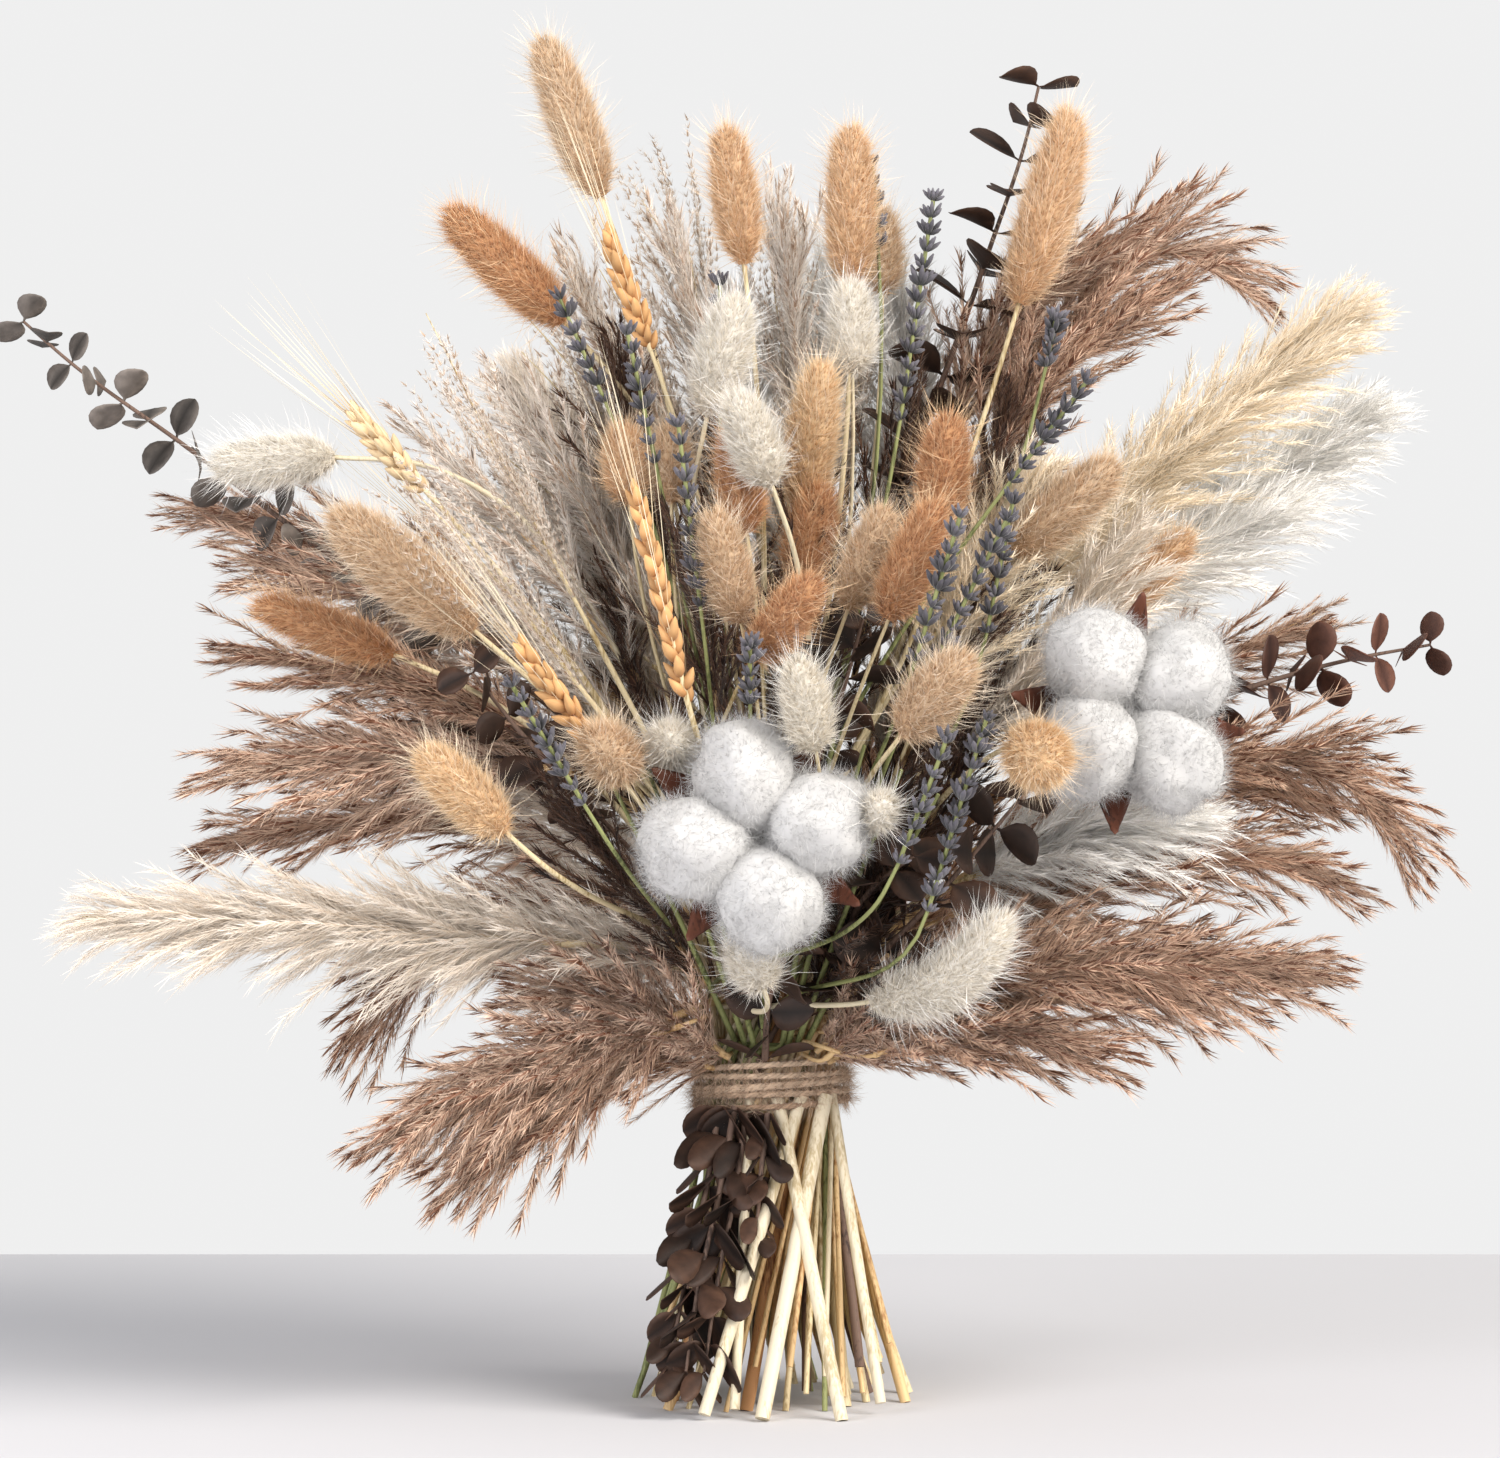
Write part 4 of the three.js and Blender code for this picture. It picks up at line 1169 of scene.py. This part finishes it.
JUTE = fibre("jute_twine_hairy", "#94735a", "#dcc2a8", 0.4, 0.95, 0.2)
JUTE_END = hair_tuft("jute_end", 2, 6 * MM, 0.13 * MM, 0.7, 9, 3)
plies = []
for n in range(3):
    line = ply_line(n)
    plies.append(sweep(line, [PLY] * len(line), JUTE, 6, 0.25 + 0.3 * n))
loose = fur(plies[0], JUTE_END, JUTE, 1.3, 0.35, 0.9, 4)
piece("twine_wrap", [*plies, loose], "twine_tie")
print("twine of", sum(len(m.polygons) for m in plies), "faces")


# %% [markdown]
# ## The stalks that fill the bunch
# The bunch has more stalks than the CAD frame carries, because a fuller frame would only add hidden
# stems to the collision shapes. They are drawn here in the same way: each stem passes through one of
# the small gaps between the stems in the tie, on the same spiral, and curves up to its head. The heads
# sit between the heads of the frame, and the back of the bunch is filled in much the same mix. Side
# shoots of reed have no stem of their own, because they only darken or soften the space between heads:
# the dark ones are painted shade, near-black tufts that stand in for the shadow deep among the heads.
# A few thick canes start inside the tie, and green stems with no head show above it in front.

# %% Stems through the gaps of the tie
# Lengths in this step and the next are in millimetres, from the tie's axis and the floor.
PITCH = 5.9  # between neighbouring stems in the tie
BUNDLE = 22.5  # radius of the bundle inside the twine
TIE_MIDDLE, TIE_TOP = 105, 117
FOOT_SPREAD = 2.2  # the foot is this many times as wide as the tie
TWIST = math.sqrt(FOOT_SPREAD**2 - 1) / TIE_MIDDLE
gaps = []
for a in range(-5, 6):
    for b in range(-5, 6):
        for share in (1, 2):
            x, y = PITCH * (a + b / 2 + share / 2), PITCH * (b + share / 3) * math.sqrt(3) / 2
            if math.hypot(x, y) < BUNDLE:
                gaps.append((x, y))
print(len(gaps), "gaps between the stems in the tie")


def spiral(gap, z):
    """The stem through this gap, at height z."""
    t = TWIST * (z - TIE_MIDDLE)
    return Vector((gap[0] - gap[1] * t, gap[1] + gap[0] * t, z))


def free_gap(base):
    """Takes the gap that suits a head with this base: turned back a sixth, and further out if it leans."""
    side = math.atan2(base.y, base.x) - math.pi / 3
    lean = min(1.0, math.hypot(base.x, base.y) / (base.z - 70))
    wish = Vector((math.cos(side), math.sin(side))) * (4 + 16 * lean)
    best = min(gaps, key=lambda g: (Vector(g) - wish).length)
    gaps.remove(best)
    return best


def extra_stem(base, tip, radius, cut):
    """A stem's line and radii in metres: from its cut end through the tie to the base of its head."""
    base, tip = Vector(base), Vector(tip)
    gap = free_gap(base)
    foot, join = spiral(gap, cut), spiral(gap, TIE_TOP)
    away, towards = (join - foot).normalized(), (tip - base).normalized()
    reach = 0.38 * (base - join).length
    ends = [join, join + away * reach, base - towards * reach, base]
    line = [foot, (foot + join) / 2]
    for k in range(13):
        t = k / 12
        line.append(sum((math.comb(3, j) * (1 - t) ** (3 - j) * t**j * ends[j] for j in range(4)), Vector()))
    return from_tie(line), taper(radius, 0.3, line)


# %% Extra heads of every kind
# A head's points run from its base to its tip. A tail's row also gives its radius, a eucalyptus row its
# leaf length, and a cane's row the stem's radius, its upper end and its foot.
EXTRA_TAILS = (
    ((38, 52, 370), (38, 52, 398), 7, "golden"),
    ((27, -8, 343), (26, -14, 372), 8.5, "white"),
    ((-10, -72, 262), (-19, -84, 297), 8, "golden"),
    ((-8, -30, 290), (-13, -33, 325), 8, "rust"),
    ((25, -58, 266), (37, -68, 298), 8, "golden"),
    ((38, -72, 263), (53, -84, 300), 8.5, "rust"),
    ((-5, -76, 250), (14, -92, 276), 8, "rust"),
    ((113, 12, 263), (140, 12, 288), 8, "peach"),
    ((-32, -68, 218), (-33, -95, 226), 8.5, "white"),
    ((14, -100, 222), (8, -113, 250), 8.5, "cream"),
    ((32, -96, 198), (36, -112, 206), 6.5, "white"),
    ((10, -20, 275), (16, -28, 305), 9, "rust"),
    ((-47, -16, 300), (-49, -20, 325), 8, "peach"),
    ((-33, -14, 300), (-33, -18, 325), 7, "golden"),
    ((-48, -70, 214), (-57, -86, 228), 8, "honey"),
)
EXTRA_LAVENDER = (
    ((-55, -8, 333), (-70, -8, 367)),
    ((-38, -33, 313), (-47, -38, 355)),
    ((-23, -76, 267), (-30, -82, 325)),
    ((50, -98, 170), (68, -116, 232)),
    ((36, 20, 385), (34, 22, 412)),
    ((-17, 10, 345), (-17, 10, 372)),
    ((-7, -86, 236), (-7, -92, 254)),
    ((92, 10, 345), (95, 8, 360)),
    ((46, -92, 250), (60, -100, 296)),
    ((70, -60, 258), (78, -66, 300)),
)
EXTRA_WHEAT = (
    ((-40, 0, 350), (-53, -4, 385), "ripe"),
    ((-57, -98, 224), (-78, -108, 252), "ripe"),
)
EXTRA_REED = (
    ("tan", ((-60, 10, 232), (-115, 12, 262), (-178, 14, 282))),
    ("brown", ((-62, -10, 218), (-120, -16, 240), (-176, -18, 250))),
    ("brown", ((-60, 30, 200), (-115, 34, 214), (-170, 34, 214))),
    ("tan", ((-36, -20, 130), (-66, -28, 108), (-98, -34, 80))),
    ("brown", ((-44, -6, 168), (-100, -8, 160), (-136, -10, 124))),
    ("brown", ((52, -20, 150), (120, -24, 178), (180, -20, 184))),
    ("tan", ((56, 0, 160), (130, 4, 188), (196, 8, 172))),
    ("brown", ((62, 16, 180), (130, 22, 205), (188, 26, 200))),
    ("tan", ((40, -30, 126), (90, -34, 146), (136, -36, 136))),
    ("tan", ((80, 40, 200), (130, 44, 232), (186, 46, 262))),
    ("brown", ((66, 40, 290), (92, 44, 340), (136, 46, 374))),
    ("tan", ((60, 50, 320), (80, 52, 360), (112, 54, 384))),
    ("brown", ((-30, -40, 128), (-62, -52, 118), (-104, -60, 104))),
    ("brown", ((34, -36, 118), (64, -50, 128), (96, -58, 124))),
    ("tan", ((-16, -24, 118), (-38, -34, 132), (-70, -42, 138))),
    ("tan", ((18, -26, 116), (40, -38, 134), (72, -44, 146))),
)
# The dark shoots are painted shade: near-black plumes set in the shadowed space between the heads.
SIDE_SHOOTS = (
    ("dark", ((0, 10, 176), (10, 14, 240), (20, 16, 300))),
    ("dark", ((-20, 0, 170), (-40, 4, 220), (-52, 6, 270))),
    ("dark", ((24, 6, 170), (44, 8, 220), (58, 10, 272))),
    ("dark", ((-10, 20, 230), (-14, 26, 285), (-20, 30, 325))),
    ("dark", ((28, 26, 240), (40, 32, 290), (50, 36, 330))),
    ("dark", ((-20, -30, 140), (-44, -38, 172), (-66, -42, 200))),
    ("dark", ((16, -30, 140), (36, -40, 176), (52, -46, 208))),
    ("dark", ((-30, -10, 190), (-70, -8, 214), (-108, -6, 226))),
    ("dark", ((-12, -16, 196), (-20, -26, 246), (-26, -32, 286))),
    ("dark", ((6, -10, 200), (10, -18, 250), (14, -22, 292))),
    ("dark", ((36, -8, 196), (54, -18, 236), (68, -24, 268))),
    ("dark", ((-2, -26, 128), (-6, -44, 158), (-10, -52, 190))),
    ("dark", ((10, -26, 128), (22, -42, 152), (34, -50, 180))),
    ("dark", ((-34, 10, 270), (-44, 14, 310), (-50, 16, 344))),
    ("dark", ((58, 20, 250), (72, 26, 290), (80, 30, 324))),
    ("dark", ((44, -4, 176), (60, -10, 208), (72, -14, 240))),
    ("dark", ((54, 8, 214), (72, 6, 250), (84, 4, 284))),
    ("pale", ((-44, 4, 240), (-84, 6, 290), (-118, 8, 322))),
    ("pale", ((-34, 8, 250), (-66, 12, 306), (-92, 14, 340))),
    ("pale", ((-50, 0, 226), (-98, 2, 266), (-140, 4, 292))),
    ("pale", ((-6, 40, 300), (-22, 46, 350), (-34, 50, 388))),
    ("pale", ((12, 44, 310), (8, 50, 356), (4, 52, 396))),
    ("pale", ((-22, 30, 290), (-50, 36, 342), (-68, 38, 378))),
    ("brown", ((-19, -17, 112), (-34, -24, 116), (-54, -30, 108))),
    ("tan", ((-14, -22, 116), (-30, -32, 124), (-50, -38, 122))),
    ("brown", ((19, -17, 114), (34, -24, 122), (54, -30, 122))),
    ("tan", ((15, -22, 118), (30, -32, 130), (50, -38, 134))),
)
EXTRA_EUCALYPTUS = (
    (20, ((24, -34, 140), (50, -62, 168), (80, -72, 204))),
    (18, ((-2, -26, 116), (-1, -42, 134), (3, -52, 152))),
    (18, ((12, -20, 206), (24, -38, 240), (30, -44, 262))),
    (16, ((-56, -34, 196), (-80, -40, 222), (-98, -40, 244))),
    (16, ((20, -36, 150), (34, -60, 176), (46, -72, 186))),
)
CANES = (
    (2.1, (10, -21, 103), (-22, -57, 2)),
    (2.5, (18, -18, 103), (-3, -60, 1)),
    (2.2, (2, -22, 103), (23, -58, 0)),
    (1.8, (20, -14, 103), (36, -44, 4)),
    (1.7, (-7, -21, 103), (-12, -52, 3)),
)
EXTRA_GREEN = (
    ((-9, -26, 122), (-24, -56, 170), (-40, -74, 214)),
    ((-6, -27, 122), (-18, -60, 172), (-28, -74, 220)),
    ((-12, -24, 122), (-32, -50, 168), (-52, -70, 210)),
    ((-2, -27, 122), (-8, -62, 176), (-14, -76, 222)),
    ((6, -27, 122), (18, -62, 176), (30, -74, 222)),
    ((9, -26, 122), (26, -58, 172), (42, -74, 214)),
    ((12, -24, 122), (34, -54, 168), (54, -72, 206)),
    ((4, -27, 122), (12, -64, 178), (20, -76, 224)),
)
EXTRA_GRASS = (
    ((-30, 14, 250), (-72, 22, 300), (-104, 26, 326)),
    ((-24, 20, 262), (-56, 26, 320), (-84, 28, 350)),
    ((-16, 34, 290), (-42, 40, 350), (-58, 42, 378)),
    ((-6, 44, 300), (-22, 50, 352), (-28, 52, 386)),
    ((-34, 6, 240), (-84, 12, 286), (-122, 14, 306)),
    ((-36, 26, 280), (-64, 34, 340), (-86, 36, 366)),
    ((6, 52, 300), (4, 58, 350), (0, 60, 380)),
    ((26, 60, 300), (30, 66, 340), (34, 68, 372)),
)
EXTRA_PAMPAS = (
    ("white", ((8, 60, 270), (-6, 66, 320), (-14, 70, 364))),
    ("white", ((40, 62, 270), (46, 68, 320), (44, 70, 366))),
    ("white", ((84, 40, 236), (130, 46, 272), (180, 50, 300))),
    ("cream", ((60, -10, 216), (96, -12, 254), (118, -12, 286))),
    ("white", ((64, -30, 176), (100, -36, 190), (134, -38, 196))),
    ("golden", ((52, -20, 236), (70, -24, 276), (84, -26, 306))),
    ("cream", ((-28, -28, 146), (-70, -32, 156), (-118, -36, 162))),
    ("white", ((-20, 70, 240), (-66, 78, 280), (-104, 80, 300))),
)
OVAL = ((0, 0.3), (0.12, 0.8), (0.4, 1.0), (0.72, 0.85), (0.93, 0.45), (1, 0.12))


def on_stem(points, radius, cut, skin, head, sides=5, shade=0.6):
    """A head's meshes with a stem of their own, which runs to the first of the points."""
    return [sweep(*extra_stem(points[0], points[1], radius, cut), skin, sides, shade), *head]


def extra_tail(base, tip, radius, colour, seed):
    points = [Vector(base).lerp(Vector(tip), t) for t, _ in OVAL]
    head = rounded(from_tie(points), [radius * MM * share for _, share in OVAL], 1.5 * MM)
    meshes = tail_meshes(*head, colour, seed)
    return on_stem((base, tip), 0.9, 6 * (seed % 4), tail_skin(colour), meshes, shade=0.5)


def extra_plume(kind, points, colour, seed, count=None):
    radius, skin = PLUMES[kind][:2]
    plume = plume_meshes(kind, smooth_line(points), colour, seed, count)
    return on_stem(points, radius, 5 * (seed % 5), skin, plume)


def joined(name, groups):
    """Extra stalks of one kind as one piece. None of them goes below the floor."""
    made = piece(name, [mesh for group in groups for mesh in group], cut=0.0)
    made.data.calc_loop_triangles()
    print(name, len(groups), "stalks", len(made.data.loop_triangles), "triangles")


joined("extra_tails_front", [extra_tail(*t, 30 + i) for i, t in enumerate(EXTRA_TAILS)])
lavender, wheat, leaves, canes, green = [], [], [], [], []
for i, points in enumerate(EXTRA_LAVENDER):
    spike = lavender_meshes(smooth_line(points), 20 + i)
    lavender.append(on_stem(points, 0.9, 4 * (i % 4), GREEN, spike))
joined("extra_lavender", lavender)
for i, (*points, colour) in enumerate(EXTRA_WHEAT):
    wheat.append(on_stem(points, 1.0, 6, STRAW, wheat_meshes(smooth_line(points), colour, 8 + i)))
joined("extra_wheat", wheat)
for i, (leaf, points) in enumerate(EXTRA_EUCALYPTUS):
    leafy = leafy_meshes(smooth_line(points), leaf * MM, "dark", 40 + i, 0.6, 0.9)
    leaves.append(on_stem(points, 1.1, 5, WOOD, leafy))
joined("extra_eucalyptus", leaves)
for radius, *ends in CANES:
    line = smooth_line(ends, 6)
    canes.append([sweep(line, [radius * MM] * len(line), CANE, 10, 0.5)])
joined("extra_canes", canes)
for i, points in enumerate(EXTRA_GREEN):
    top = smooth_line(points)
    green.append(on_stem(points, 1.1, 7 * (i % 3), GREEN, [sweep(top, taper(1.1, 0.4, top), GREEN, 6)], 6))
joined("extra_green_stems", green)
reeds = [extra_plume("brown_reed", p, c, 20 + i, 98) for i, (c, p) in enumerate(EXTRA_REED)]
joined("extra_reed_left", reeds[:8])
joined("extra_reed_right", reeds[8:])
# The first piece is all painted shade, dark shoots; the second has three of them among pale and brown shoots.
shoots = [plume_meshes("brown_reed", smooth_line(p), c, 50 + i, 50) for i, (c, p) in enumerate(SIDE_SHOOTS)]
joined("reed_side_shoots_1", shoots[:14])
joined("reed_side_shoots_2", shoots[14:])
grass = [extra_plume("silver_grass", p, "silver", 20 + i) for i, p in enumerate(EXTRA_GRASS)]
joined("extra_silver_grass", grass)
silks = [extra_plume("pampas", p, c, 20 + i, 185) for i, (c, p) in enumerate(EXTRA_PAMPAS)]
joined("extra_pampas_1", silks[:4])
joined("extra_pampas_2", silks[4:])

# %% The back of the bunch
BACK = 26  # stalks, from low to high
BACK_ORDER = "brown_reed pampas bunny_tail brown_reed silver_grass bunny_tail brown_reed pampas".split()
BACK_KINDS = {  # a short name, the length of a head, the colours in turn and the number of branches
    "brown_reed": ("reed", 95, ("brown", "tan"), 65),
    "bunny_tail": ("tail", 34, ("golden", "rust", "white", "peach"), None),
    "pampas": ("pampas", 110, ("white", "cream"), 180),
    "silver_grass": ("grass", 100, ("silver",), None),
}
HEART = Vector((0, 0, 122))  # the heads point away from here
BACK_REACH = (195, 104, 232)  # how far they reach to the side, to the back and up
back = {kind: [] for kind in BACK_KINDS}
for i in range(BACK):
    kind = BACK_ORDER[i % len(BACK_ORDER)]
    _, length, colours, count = BACK_KINDS[kind]
    colour = colours[i % len(colours)]
    around = math.radians((42 + (i * 40) % 96) if kind == "bunny_tail" else (12 + (i * 61.8) % 156))
    lift = math.radians(4 + 66 * ((i + 0.5) / BACK))
    way = Vector((math.cos(around) * math.cos(lift), math.sin(around) * math.cos(lift), math.sin(lift)))
    reach = 1 / math.sqrt(sum((w / most) ** 2 for w, most in zip(way, BACK_REACH)))
    tip = HEART + way * reach
    base = HEART + way * (reach - length * min(1.0, reach / 150))
    if kind == "bunny_tail":
        back[kind].append(extra_tail(base, tip, 8.5, colour, 60 + i))
    else:
        middle = base.lerp(tip, 0.5) + Vector((0, 0, 4))
        back[kind].append(extra_plume(kind, (base, middle, tip), colour, 60 + i, count))
for kind, groups in back.items():
    half = (len(groups) + 1) // 2
    name = BACK_KINDS[kind][0]
    joined(f"back_{name}_1", groups[:half])
    if groups[half:]:
        joined(f"back_{name}_2", groups[half:])


# %% Finish
triangles = 0
for shown in bpy.context.scene.objects:
    if shown.type == "MESH" and not shown.hide_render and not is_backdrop(shown):
        shown.data.calc_loop_triangles()
        triangles += len(shown.data.loop_triangles)
print("the bunch has", triangles, "triangles")
